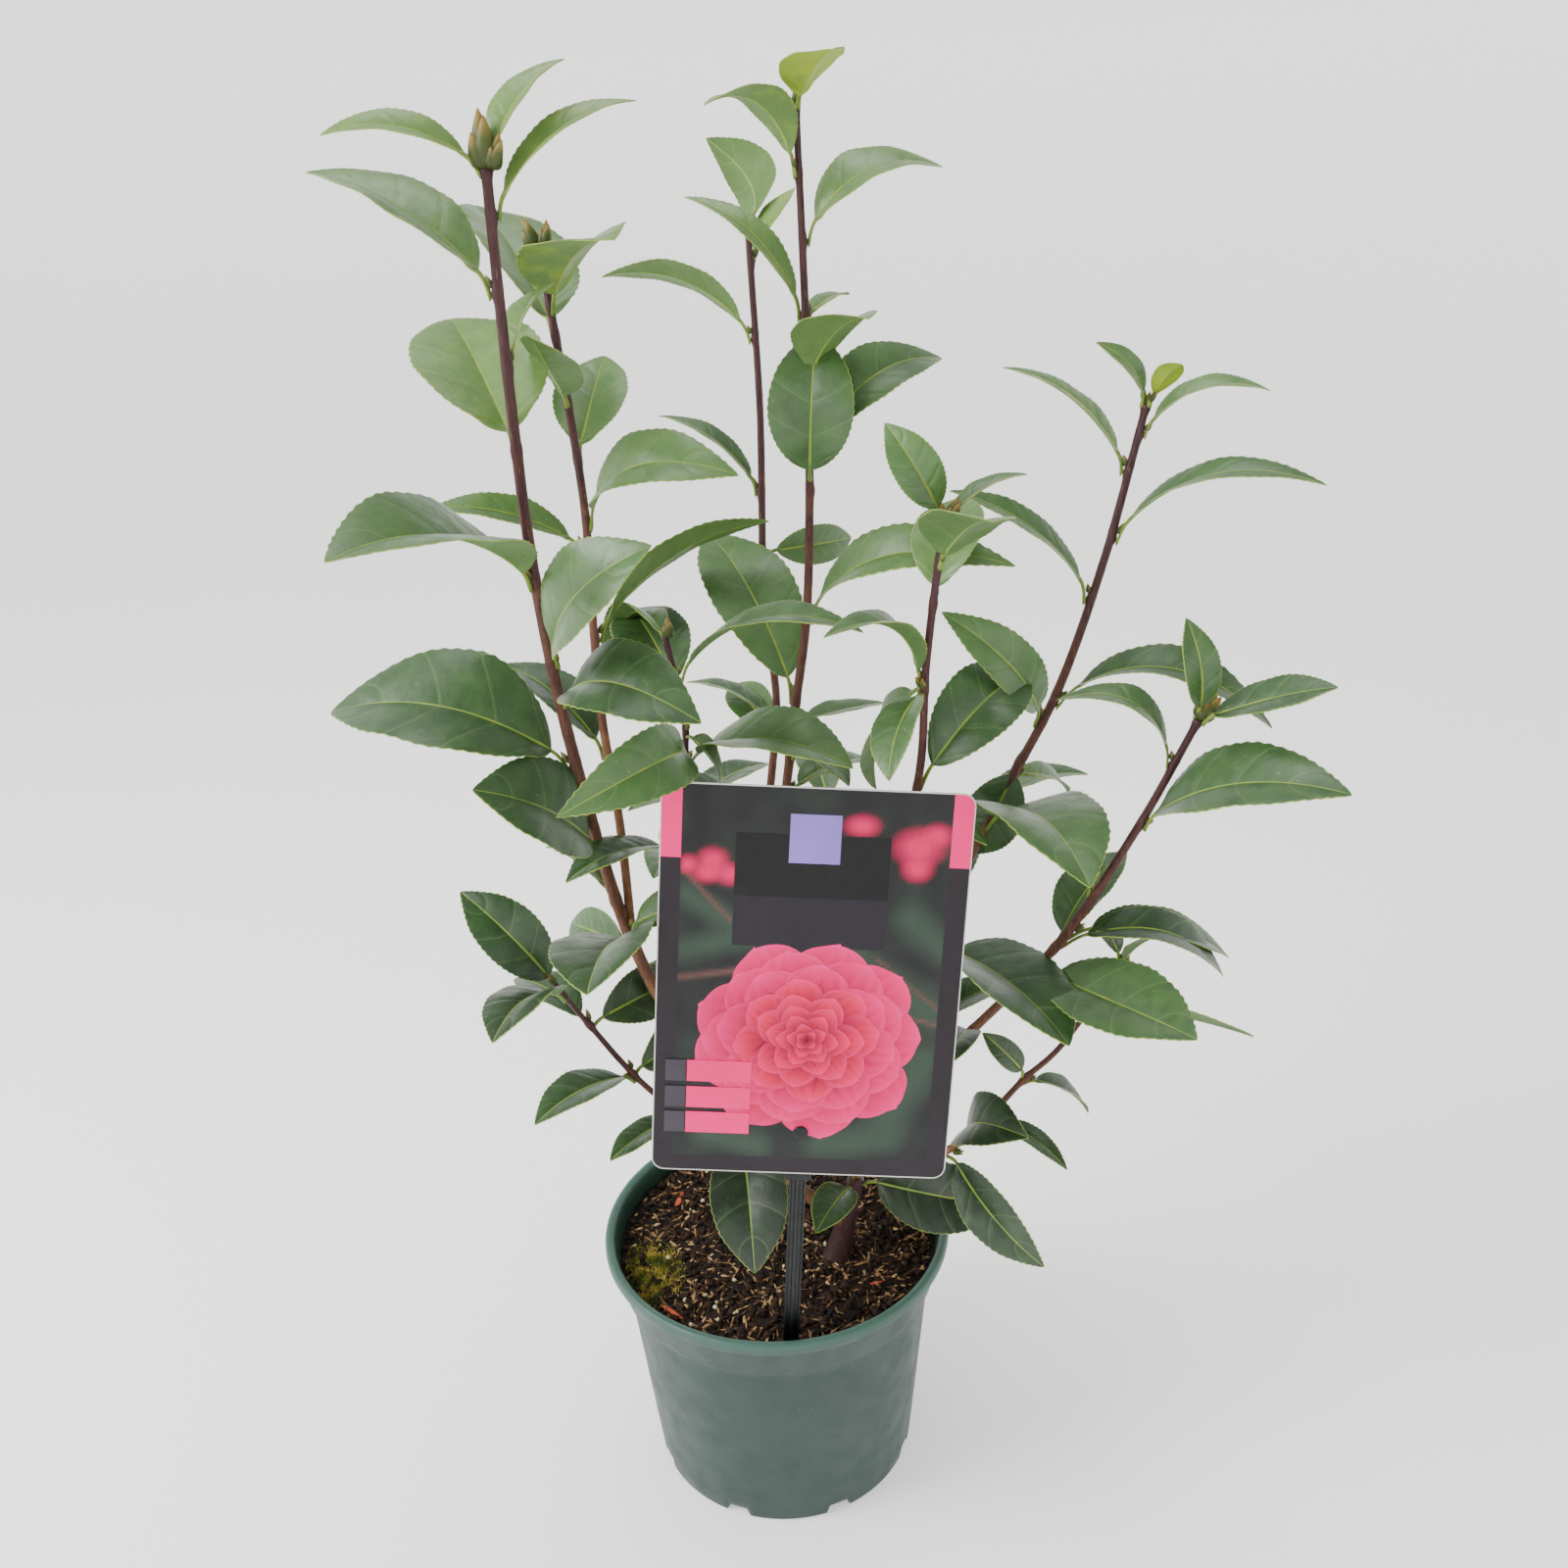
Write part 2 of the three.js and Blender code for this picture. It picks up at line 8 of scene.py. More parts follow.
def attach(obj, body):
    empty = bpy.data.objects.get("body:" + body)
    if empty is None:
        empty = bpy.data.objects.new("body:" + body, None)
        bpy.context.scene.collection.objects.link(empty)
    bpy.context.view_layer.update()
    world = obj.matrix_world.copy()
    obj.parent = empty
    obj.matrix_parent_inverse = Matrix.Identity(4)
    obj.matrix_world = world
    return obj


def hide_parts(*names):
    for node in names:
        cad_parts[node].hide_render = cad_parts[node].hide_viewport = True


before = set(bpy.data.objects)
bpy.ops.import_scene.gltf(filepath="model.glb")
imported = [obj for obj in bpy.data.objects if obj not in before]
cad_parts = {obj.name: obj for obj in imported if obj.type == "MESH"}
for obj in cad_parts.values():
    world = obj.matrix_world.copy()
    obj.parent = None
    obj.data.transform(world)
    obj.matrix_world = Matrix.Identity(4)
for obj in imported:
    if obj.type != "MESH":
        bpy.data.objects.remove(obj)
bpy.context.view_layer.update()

# ---- Viewpoint
# The plant is seen from its card side, from a little above the tips' middle, looking down
# into the pot, with the horizon tipped slightly.
camera = bpy.data.objects.new("camera", bpy.data.cameras.new("camera"))
bpy.context.scene.collection.objects.link(camera)
bpy.context.scene.camera = camera
camera.data.sensor_width = 36
camera.data.lens = 33.75
camera.location = (0.0141, -0.6536, 0.6839)
look_down = Matrix.Rotation(math.radians(90 - 23.04), 3, "X")
horizon_tip = Matrix.Rotation(math.radians(-2.40), 3, "Z")
camera.rotation_euler = (look_down @ horizon_tip).to_euler()

# ---- Pot
# A 3 litre nursery pot, injection moulded in dark green polypropylene: a rolled lip, a
# collar with a stacking step, a tapering wall, and drain notches round the foot.
MM = 0.001
POT_HEIGHT = 145
LIP_RADIUS = 95
FOOT_RADIUS = 72.5
POT_TURNS = 256
DRAINS = 8
DRAIN_HALF_ANGLE = 5.6
DRAIN_HEIGHT = 6
DRAIN_REACH = 61.5


def srgb(code):
    """An sRGB hex colour as the linear RGBA that shaders take."""
    parts = [int(code[i:i + 2], 16) / 255 for i in (1, 3, 5)]
    linear = [c / 12.92 if c <= 0.04045 else ((c + 0.055) / 1.055) ** 2.4 for c in parts]
    return (*linear, 1)


def per(size):
    """The scale that makes a pattern's cells this many millimetres wide."""
    return 1 / (size * MM)


def wire(tree, node, sockets):
    """Gives each named socket of a node a value, or a link from another node's output."""
    for name, value in dict(sockets).items():
        if isinstance(value, bpy.types.NodeSocket):
            tree.links.new(value, node.inputs[name])
        else:
            node.inputs[name].default_value = value


def add(tree, kind, sockets=(), stops=(), out=0, **settings):
    """Adds a shader node with its settings, links and colour stops, and gives one output."""
    node = tree.nodes.new("ShaderNode" + kind)
    for name, value in settings.items():
        setattr(node, name, value)
    wire(tree, node, sockets)
    if stops:
        band = node.color_ramp.elements
        while len(band) < len(stops):
            band.new(0.5)
        for element, (place, code) in zip(band, stops):
            element.position = place
            element.color = srgb(code)
    return node.outputs[out]


def finish(name, sockets):
    """A material with one Principled shader, its nodes, and the object's own coordinates."""
    made = bpy.data.materials.new(name)
    made.use_nodes = True
    tree = made.node_tree
    shader = tree.nodes["Principled BSDF"]
    wire(tree, shader, sockets)
    return made, tree, shader, add(tree, "TexCoord", out="Object")


def piece(name, points, faces, finishes, slot, nodes=(), indices=None, values=None, maps=None, smooth=True,
          inks=None):
    """A mesh from points in millimetres that rides on the pot's body and stands for CAD nodes.
    values are numbers kept at each point, inks its colour, and maps are flat layouts."""
    mesh = bpy.data.meshes.new(name)
    mesh.from_pydata((np.asarray(points, float) * MM).tolist(), [], [tuple(f) for f in faces])
    for made in finishes:
        mesh.materials.append(made)
    if indices is not None:
        mesh.polygons.foreach_set("material_index", np.asarray(indices, np.int32))
    mesh.polygons.foreach_set("use_smooth", np.full(len(mesh.polygons), smooth))
    for label, value in (values or {}).items():
        mesh.attributes.new(label, "FLOAT", "POINT").data.foreach_set("value", np.asarray(value, np.float32))
    if inks is not None:
        mesh.attributes.new("ink", "FLOAT_COLOR", "POINT").data.foreach_set(
            "color", np.asarray(inks, np.float32).ravel())
    corners = np.zeros(len(mesh.loops), np.int32)
    mesh.loops.foreach_get("vertex_index", corners)
    for label, spots in (maps or {}).items():
        layer = mesh.uv_layers.new(name=label, do_init=False)
        layer.uv.foreach_set("vector", np.asarray(spots, np.float32)[corners].ravel())
    mesh.update()
    made = bpy.data.objects.new(name, mesh)
    bpy.context.scene.collection.objects.link(made)
    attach(made, "root")
    if nodes:
        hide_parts(*nodes)
    return made


def grid_faces(rows, columns, first=0, closed=False):
    """Quads over a grid of points; closed joins the last column to the first."""
    width = columns if closed else columns - 1
    return [
        (first + r * columns + c, first + r * columns + (c + 1) % columns,
         first + (r + 1) * columns + (c + 1) % columns, first + (r + 1) * columns + c)
        for r in range(rows - 1) for c in range(width)
    ]


def rounded(corners, steps=5):
    """A profile through (radius, height, fillet) corners, each fillet drawn as a soft bend."""
    places = [np.array(c[:2], float) for c in corners]
    line = []
    for i, corner in enumerate(corners):
        here = places[i]
        if i in (0, len(corners) - 1) or corner[2] == 0:
            line.append(here)
            continue
        into, out = places[i - 1] - here, places[i + 1] - here
        reach_in = min(corner[2], np.linalg.norm(into) * 0.45)
        reach_out = min(corner[2], np.linalg.norm(out) * 0.45)
        start = here + into / np.linalg.norm(into) * reach_in
        end = here + out / np.linalg.norm(out) * reach_out
        for t in np.linspace(0, 1, steps):
            line.append(start * (1 - t) ** 2 + here * 2 * t * (1 - t) + end * t ** 2)
    return np.array(line)


def turned(profile, turns):
    """Points and faces of a profile spun round Z; its first and last points lie on the axis."""
    angles = np.linspace(0, 2 * np.pi, turns, endpoint=False)
    body = profile[1:-1]
    points = [
        (r * math.cos(a), r * math.sin(a), z) for r, z in body for a in angles
    ]
    faces = grid_faces(len(body), turns, closed=True)
    low, high = len(points), len(points) + 1
    points += [(0, 0, profile[0][1]), (0, 0, profile[-1][1])]
    last = (len(body) - 1) * turns
    faces += [(low, (i + 1) % turns, i) for i in range(turns)]
    faces += [(high, last + i, last + (i + 1) % turns) for i in range(turns)]
    return np.array(points), faces


pot_profile = rounded([
    (0, 2.0, 0), (58, 2.0, 1.5), (61, 0.0, 1.5), (FOOT_RADIUS, 0, 2.2),
    (74.0, 14, 6), (83.6, 112.5, 3), (84.2, 115.2, 1.2), (86.8, 118, 1.6), (91.3, 137.2, 1.4),
    (93.9, 137.6, 1.8), (LIP_RADIUS, 140.5, 2), (94.6, 144.2, 1.8), (92.2, POT_HEIGHT, 1.4),
    (89.6, 143.6, 1.6), (89.0, 138, 1.5), (84.9, 118.8, 1.5), (82.6, 114, 1.5),
    (71.0, 4.2, 2), (0, 4.0, 0),
])
pot_points, pot_faces = turned(pot_profile, POT_TURNS)
# Moulding stress draws the wall very slightly out of round
swell = 1 - 0.004 * np.cos(2 * np.arctan2(pot_points[:, 1], pot_points[:, 0]) + 0.6) ** 2
pot_points[:, :2] *= swell[:, None]

# Moulded matt: a soft satin light with a faint spark-eroded grain, a lip painted paler as painted light from
# above, and scuffs
polypropylene, tree, shader, place = finish("moulded_polypropylene", {"IOR": 1.49, "Specular IOR Level": 0.5})
mottle = add(tree, "TexNoise", {"Vector": place, "Scale": per(46), "Detail": 4})
tone = add(tree, "ValToRGB", {"Fac": mottle}, [(0.25, "#102b23"), (0.5, "#133027"), (0.8, "#17362d")])
# Painted light: the colour is mixed paler up the lip, as if lit from above
height = add(tree, "SeparateXYZ", {"Vector": place}, out="Z")
painted_lip_light = {"Value": height, "From Min": 137 * MM, "From Max": POT_HEIGHT * MM, "To Max": 0.55}
painted_lip_light = add(tree, "MapRange", painted_lip_light)
tone = add(tree, "MixRGB", {"Fac": painted_lip_light, "Color1": tone, "Color2": srgb("#4d7566")})
rubs = add(tree, "TexNoise", {"Vector": place, "Scale": per(3.2), "Detail": 6, "Roughness": 0.65})
scuff = add(tree, "MapRange", {"Value": rubs, "From Min": 0.66, "From Max": 0.74})
tone = add(tree, "MixRGB", {"Fac": scuff, "Color1": tone, "Color2": srgb("#4a6a5c")})
dust = add(tree, "TexNoise", {"Vector": place, "Scale": per(14), "Detail": 4})
rough = {"Value": dust, "From Min": 0.3, "From Max": 0.7, "To Min": 0.4, "To Max": 0.56}
rough = add(tree, "MapRange", rough)
grain = add(tree, "TexNoise", {"Vector": place, "Scale": per(0.9), "Detail": 2})
grain = add(tree, "Bump", {"Height": grain, "Distance": 0.05 * MM})
swells = add(tree, "TexNoise", {"Vector": place, "Scale": per(30), "Detail": 2})
relief = add(tree, "Bump", {"Height": swells, "Distance": 0.15 * MM, "Normal": grain})
wire(tree, shader, {"Base Color": tone, "Roughness": rough, "Normal": relief})

# Each drain is a notch that lifts the foot, and the floor's corner above it
around = np.degrees(np.arctan2(pot_points[:, 1], pot_points[:, 0])) % (360 / DRAINS)
in_drain = np.abs(around - 180 / DRAINS) < DRAIN_HALF_ANGLE
at_foot = in_drain & (np.hypot(pot_points[:, 0], pot_points[:, 1]) > DRAIN_REACH)
under = at_foot & (pot_points[:, 2] < 3)
above = at_foot & (pot_points[:, 2] >= 3) & (pot_points[:, 2] < 8)
pot_points[under, 2] = DRAIN_HEIGHT
pot_points[above, 2] = DRAIN_HEIGHT + 3
piece("pot_moulding", pot_points, pot_faces, [polypropylene], "pot_plastic", ["pot"])

# ---- Compost
# Damp peat and bark fines to about 13 mm under the lip, dark where wet, with pale husks,
# wood shreds, fertiliser beads, two chips of red bark, and moss where the lip keeps it damp.
SOIL_LEVEL = 131.6
SOIL_RADIUS = 87.2
SOIL_RINGS = 84
SOIL_TURNS = 220
chance = np.random.default_rng(11)


def ground(x, y):
    """The height of the compost, in lumps over a gentle roll."""
    roll = 1.2 * math.sin(0.045 * x + 1) * math.cos(0.04 * y)
    lumps = 1.5 * noise.noise((x / 11, y / 11, 0)) + 0.9 * noise.noise((x / 4.5, y / 4.5, 3))
    fines = 0.45 * noise.noise((x / 1.8, y / 1.8, 7))
    return SOIL_LEVEL + roll + lumps + fines


soil_points = [(0, 0, ground(0, 0))]
for r in np.linspace(0, SOIL_RADIUS, SOIL_RINGS + 1)[1:]:
    for a in np.linspace(0, 2 * np.pi, SOIL_TURNS, endpoint=False):
        x, y = r * math.cos(a), r * math.sin(a)
        soil_points.append((x, y, ground(x, y)))
soil_faces = [(0, 1 + i, 1 + (i + 1) % SOIL_TURNS) for i in range(SOIL_TURNS)]
soil_faces += grid_faces(SOIL_RINGS, SOIL_TURNS, 1, closed=True)
SOIL_SKIRT = ((84.4, 119), (82.4, 114), (71, 5), (0, 5))
edge = 1 + (SOIL_RINGS - 1) * SOIL_TURNS
for r, z in SOIL_SKIRT[:-1]:
    for a in np.linspace(0, 2 * np.pi, SOIL_TURNS, endpoint=False):
        soil_points.append((r * math.cos(a), r * math.sin(a), z))
soil_faces += grid_faces(len(SOIL_SKIRT), SOIL_TURNS, edge, closed=True)
soil_points.append((0, 0, SOIL_SKIRT[-1][1]))
rim = len(soil_points) - 1 - SOIL_TURNS
soil_faces += [(rim + i, len(soil_points) - 1, rim + (i + 1) % SOIL_TURNS) for i in range(SOIL_TURNS)]

# Nearly black where wet, brown on the dry crumbs, with the light broken by every grain
peat, tree, shader, place = finish("damp_peat", {"Specular IOR Level": 0.35, "IOR": 1.4})
crumb = add(tree, "TexNoise", {"Vector": place, "Scale": per(3.5), "Detail": 6, "Roughness": 0.7})
tone = add(tree, "ValToRGB", {"Fac": crumb},
           [(0.32, "#0d0907"), (0.5, "#1d130e"), (0.62, "#33231a"), (0.75, "#5a4230")])
rough = {"Value": crumb, "From Min": 0.3, "From Max": 0.7, "To Min": 0.62, "To Max": 0.95}
rough = add(tree, "MapRange", rough)
grit = add(tree, "TexNoise", {"Vector": place, "Scale": per(1.4), "Detail": 5, "Roughness": 0.7})
relief = add(tree, "Bump", {"Height": grit, "Distance": 0.9 * MM})
wire(tree, shader, {"Base Color": tone, "Roughness": rough, "Normal": relief})
piece("compost_bed", soil_points, soil_faces, [peat], "compost", ["compost"])


def pod(sides, stations):
    """A closed pod along +X, one unit long, through (place, radius) stations."""
    turns = np.linspace(0, 2 * np.pi, sides, endpoint=False)
    points = [(-0.5, 0, 0)]
    points += [(x, r * math.cos(a), r * math.sin(a)) for x, r in stations for a in turns]
    points.append((0.5, 0, 0))
    faces = [(0, 1 + (i + 1) % sides, 1 + i) for i in range(sides)]
    faces += grid_faces(len(stations), sides, 1, closed=True)
    end, last = len(points) - 1, 1 + (len(stations) - 1) * sides
    faces += [(end, last + i, last + (i + 1) % sides) for i in range(sides)]
    return np.array(points), faces


def strewn(shape, count, length, slim, keep, tilt=20, sunk=0.2, wobble=0.0):
    """Many copies of a shape on the compost: lengths and slimness as (least, most), keep
    says where one may lie, and tilt how far it may stand out of the ground."""
    points, faces = shape
    made_points, made_faces, laid = [], [], 0
    while laid < count:
        r, a = SOIL_RADIUS * 0.975 * math.sqrt(chance.random()), 2 * math.pi * chance.random()
        x, y = r * math.cos(a), r * math.sin(a)
        if chance.random() > keep(x, y):
            continue
        long = chance.uniform(*length)
        thin = long * chance.uniform(*slim)
        size = np.array([long, thin, thin * chance.uniform(0.6, 1)])
        turn = Matrix.Rotation(2 * math.pi * chance.random(), 3, "Z")
        lift = Matrix.Rotation(math.radians(chance.uniform(-tilt, tilt)), 3, "Y")
        roll = Matrix.Rotation(2 * math.pi * chance.random(), 3, "X")
        place = np.array((x, y, ground(x, y) + thin * (0.5 - sunk)))
        body = points * (1 + wobble * chance.uniform(-1, 1, points.shape)) * size
        body = body @ np.array(turn @ lift @ roll).T + place
        out = np.hypot(body[:, 0], body[:, 1]).max()
        if out > SOIL_RADIUS + 0.2:
            continue
        first = len(made_points)
        made_points.extend(body)
        made_faces.extend(tuple(first + k for k in f) for f in faces)
        laid += 1
    return made_points, made_faces


MOSS_SPOT = (-69, -26)
MOSS_REACH = 34


def everywhere(x, y):
    return 1.0


def off_moss(x, y):
    """How likely a grain is to lie here: seldom where the moss grows."""
    return 1 - 0.9 * max(0.0, 1 - math.hypot(x - MOSS_SPOT[0], y - MOSS_SPOT[1]) / MOSS_REACH)


def in_drifts(x, y):
    """The same, and seldom too between the drifts that watering leaves."""
    return off_moss(x, y) * (0.35 + 0.65 * (noise.noise((x / 26, y / 26, 5)) > -0.1))


lump = pod(6, [(-0.4, 0.3), (-0.12, 0.5), (0.18, 0.46), (0.42, 0.24)])
husk = pod(6, [(-0.42, 0.16), (-0.15, 0.46), (0.2, 0.42), (0.44, 0.12)])
shred = pod(5, [(-0.5, 0.4), (-0.2, 0.5), (0.15, 0.44), (0.5, 0.38)])
bead = pod(8, [(-0.43, 0.25), (-0.25, 0.43), (0, 0.5), (0.25, 0.43), (0.43, 0.25)])


def grains(name, code, dark, roughness):
    """The finish of one kind of grain: its own colour, stained darker in patches by the peat."""
    made, tree, shader, place = finish(name, {"Roughness": roughness, "IOR": 1.45, "Specular IOR Level": 0.3})
    stain = add(tree, "TexNoise", {"Vector": place, "Scale": per(5), "Detail": 3})
    tone = add(tree, "ValToRGB", {"Fac": stain}, [(0.38, dark), (0.6, code)])
    grain = add(tree, "TexNoise", {"Vector": place, "Scale": per(0.7), "Detail": 3})
    relief = add(tree, "Bump", {"Height": grain, "Distance": 0.12 * MM})
    wire(tree, shader, {"Base Color": tone, "Normal": relief})
    return made


# Name, shape, count, lengths, slimness, where it may lie, tilt, sunk share, wobble and finish
STREWN = [
    ("compost_lumps", lump, 1900, (1.6, 5.5), (0.5, 0.9), everywhere, 40, 0.3, 0.28,
     grains("peat_crumbs", "#3a281d", "#120c09", 0.9)),
    ("compost_husks", husk, 620, (2.6, 5.2), (0.26, 0.42), in_drifts, 45, 0.1, 0.1,
     grains("grain_husks", "#c9a878", "#6f5236", 0.7)),
    ("compost_shreds", shred, 520, (3.0, 11.0), (0.07, 0.2), off_moss, 25, 0.0, 0.12,
     grains("wood_shreds", "#a88258", "#4a3424", 0.8)),
    ("compost_fibres", shred, 420, (4.0, 13.0), (0.03, 0.06), off_moss, 35, -0.4, 0.1,
     grains("root_fibres", "#8a6a4c", "#33241a", 0.85)),
    ("fertiliser_beads", bead, 46, (1.8, 3.0), (0.9, 1.0), everywhere, 90, 0.15, 0.02,
     grains("coated_fertiliser", "#d8cfa8", "#b7a878", 0.35)),
]
for name, shape, count, length, slim, keep, tilt, sunk, wobble, look in STREWN:
    piece(name, *strewn(shape, count, length, slim, keep, tilt, sunk, wobble), [look], "compost")

red_bark = grains("red_pine_bark", "#c65a3c", "#8c3c28", 0.8)
CHIPS = [((-56, 36), 15, 80), ((-55, -56), 13, -38), ((52, -40), 7, 20)]
chip_points, chip_faces = [], []
for (x, y), long, turn_by in CHIPS:
    points, faces = pod(6, [(-0.5, 0.3), (-0.2, 0.5), (0.1, 0.42), (0.5, 0.26)])
    turn = np.array(Matrix.Rotation(math.radians(turn_by), 3, "Z") @ Matrix.Rotation(0.12, 3, "Y"))
    body = points * (1 + 0.12 * chance.uniform(-1, 1, points.shape)) * (long, long * 0.24, 1.6)
    first = len(chip_points)
    chip_points.extend(body @ turn.T + (x, y, ground(x, y) + 1.6))
    chip_faces.extend(tuple(first + k for k in f) for f in faces)
piece("bark_chips", chip_points, chip_faces, [red_bark], "compost")

# Soft tufts, yellow at the tips that the light reaches and green in the damp
moss, tree, shader, place = finish("moss", {"Roughness": 0.8, "Specular IOR Level": 0.2})
patch = add(tree, "TexNoise", {"Vector": place, "Scale": per(12), "Detail": 3})
tone = add(tree, "ValToRGB", {"Fac": patch}, [(0.35, "#3d5728"), (0.47, "#8f8f38"), (0.6, "#c9b355")])
wire(tree, shader, {"Base Color": tone})
moss_points, moss_faces = [], []
for _ in range(4200):
    reach = 25 * math.sqrt(chance.random()) * chance.uniform(0.5, 1)
    a = 2 * math.pi * chance.random()
    x, y = MOSS_SPOT[0] + reach * math.cos(a) * 0.8, MOSS_SPOT[1] + reach * math.sin(a) * 1.25
    if math.hypot(x, y) > SOIL_RADIUS - 1.5 or noise.noise((x / 7, y / 7, 2)) < -0.25:
        continue
    tall, lean = chance.uniform(1.2, 3.4), chance.uniform(-1.2, 1.2, 2)
    foot = np.array((x, y, ground(x, y) - 0.3))
    side = np.array((math.cos(3 * a), math.sin(3 * a), 0)) * 0.34
    first = len(moss_points)
    moss_points += [foot - side, foot + side, foot + (side[1], -side[0], 0.1),
                    foot + (lean[0], lean[1], tall)]
    moss_faces += [(first, first + 1, first + 3), (first + 1, first + 2, first + 3),
                   (first + 2, first, first + 3), (first, first + 2, first + 1)]
piece("moss_tufts", moss_points, moss_faces, [moss], "compost", smooth=False)

# ---- Trunk and boughs
# One short trunk forks a hand's breadth above the compost into slim shoots. The wood is
# tan-brown and streaked where old, purple-brown and smooth where young, and swells at each leaf.
SPIRAL_TURN = 144


def spiral(start, end, count, bearing, rise, length):
    """Leaves in a plain spiral, two turns to five leaves, in the rows that SHOOTS explains."""
    rows = []
    for i in range(count):
        share = start + (end - start) * i / max(1, count - 1)
        long = length * (1 + 0.12 * math.sin(2.3 * i))
        rows.append([share, bearing + SPIRAL_TURN * i, rise + 8 * math.cos(1.7 * i), long, 0.5, 0.1, 0])
    return rows


# A shoot is the line that it follows in millimetres, its radius at foot and tip, and its
# leaves: share of the shoot's length, bearing and rise in degrees, length in millimetres,
# width and arch as shares of the length, and roll in degrees.
TRUNK = {
    "line": [[32, -16, 130], [38, -12, 152], [44, -6, 176]],
    "foot": 6.5, "tip": 4,
    "leaves": [
        [0.95, -120, 0, 40, 0.7, 0.1, 10], [1, -15, -5, 76, 0.64, 0.1, -60],
    ],
}

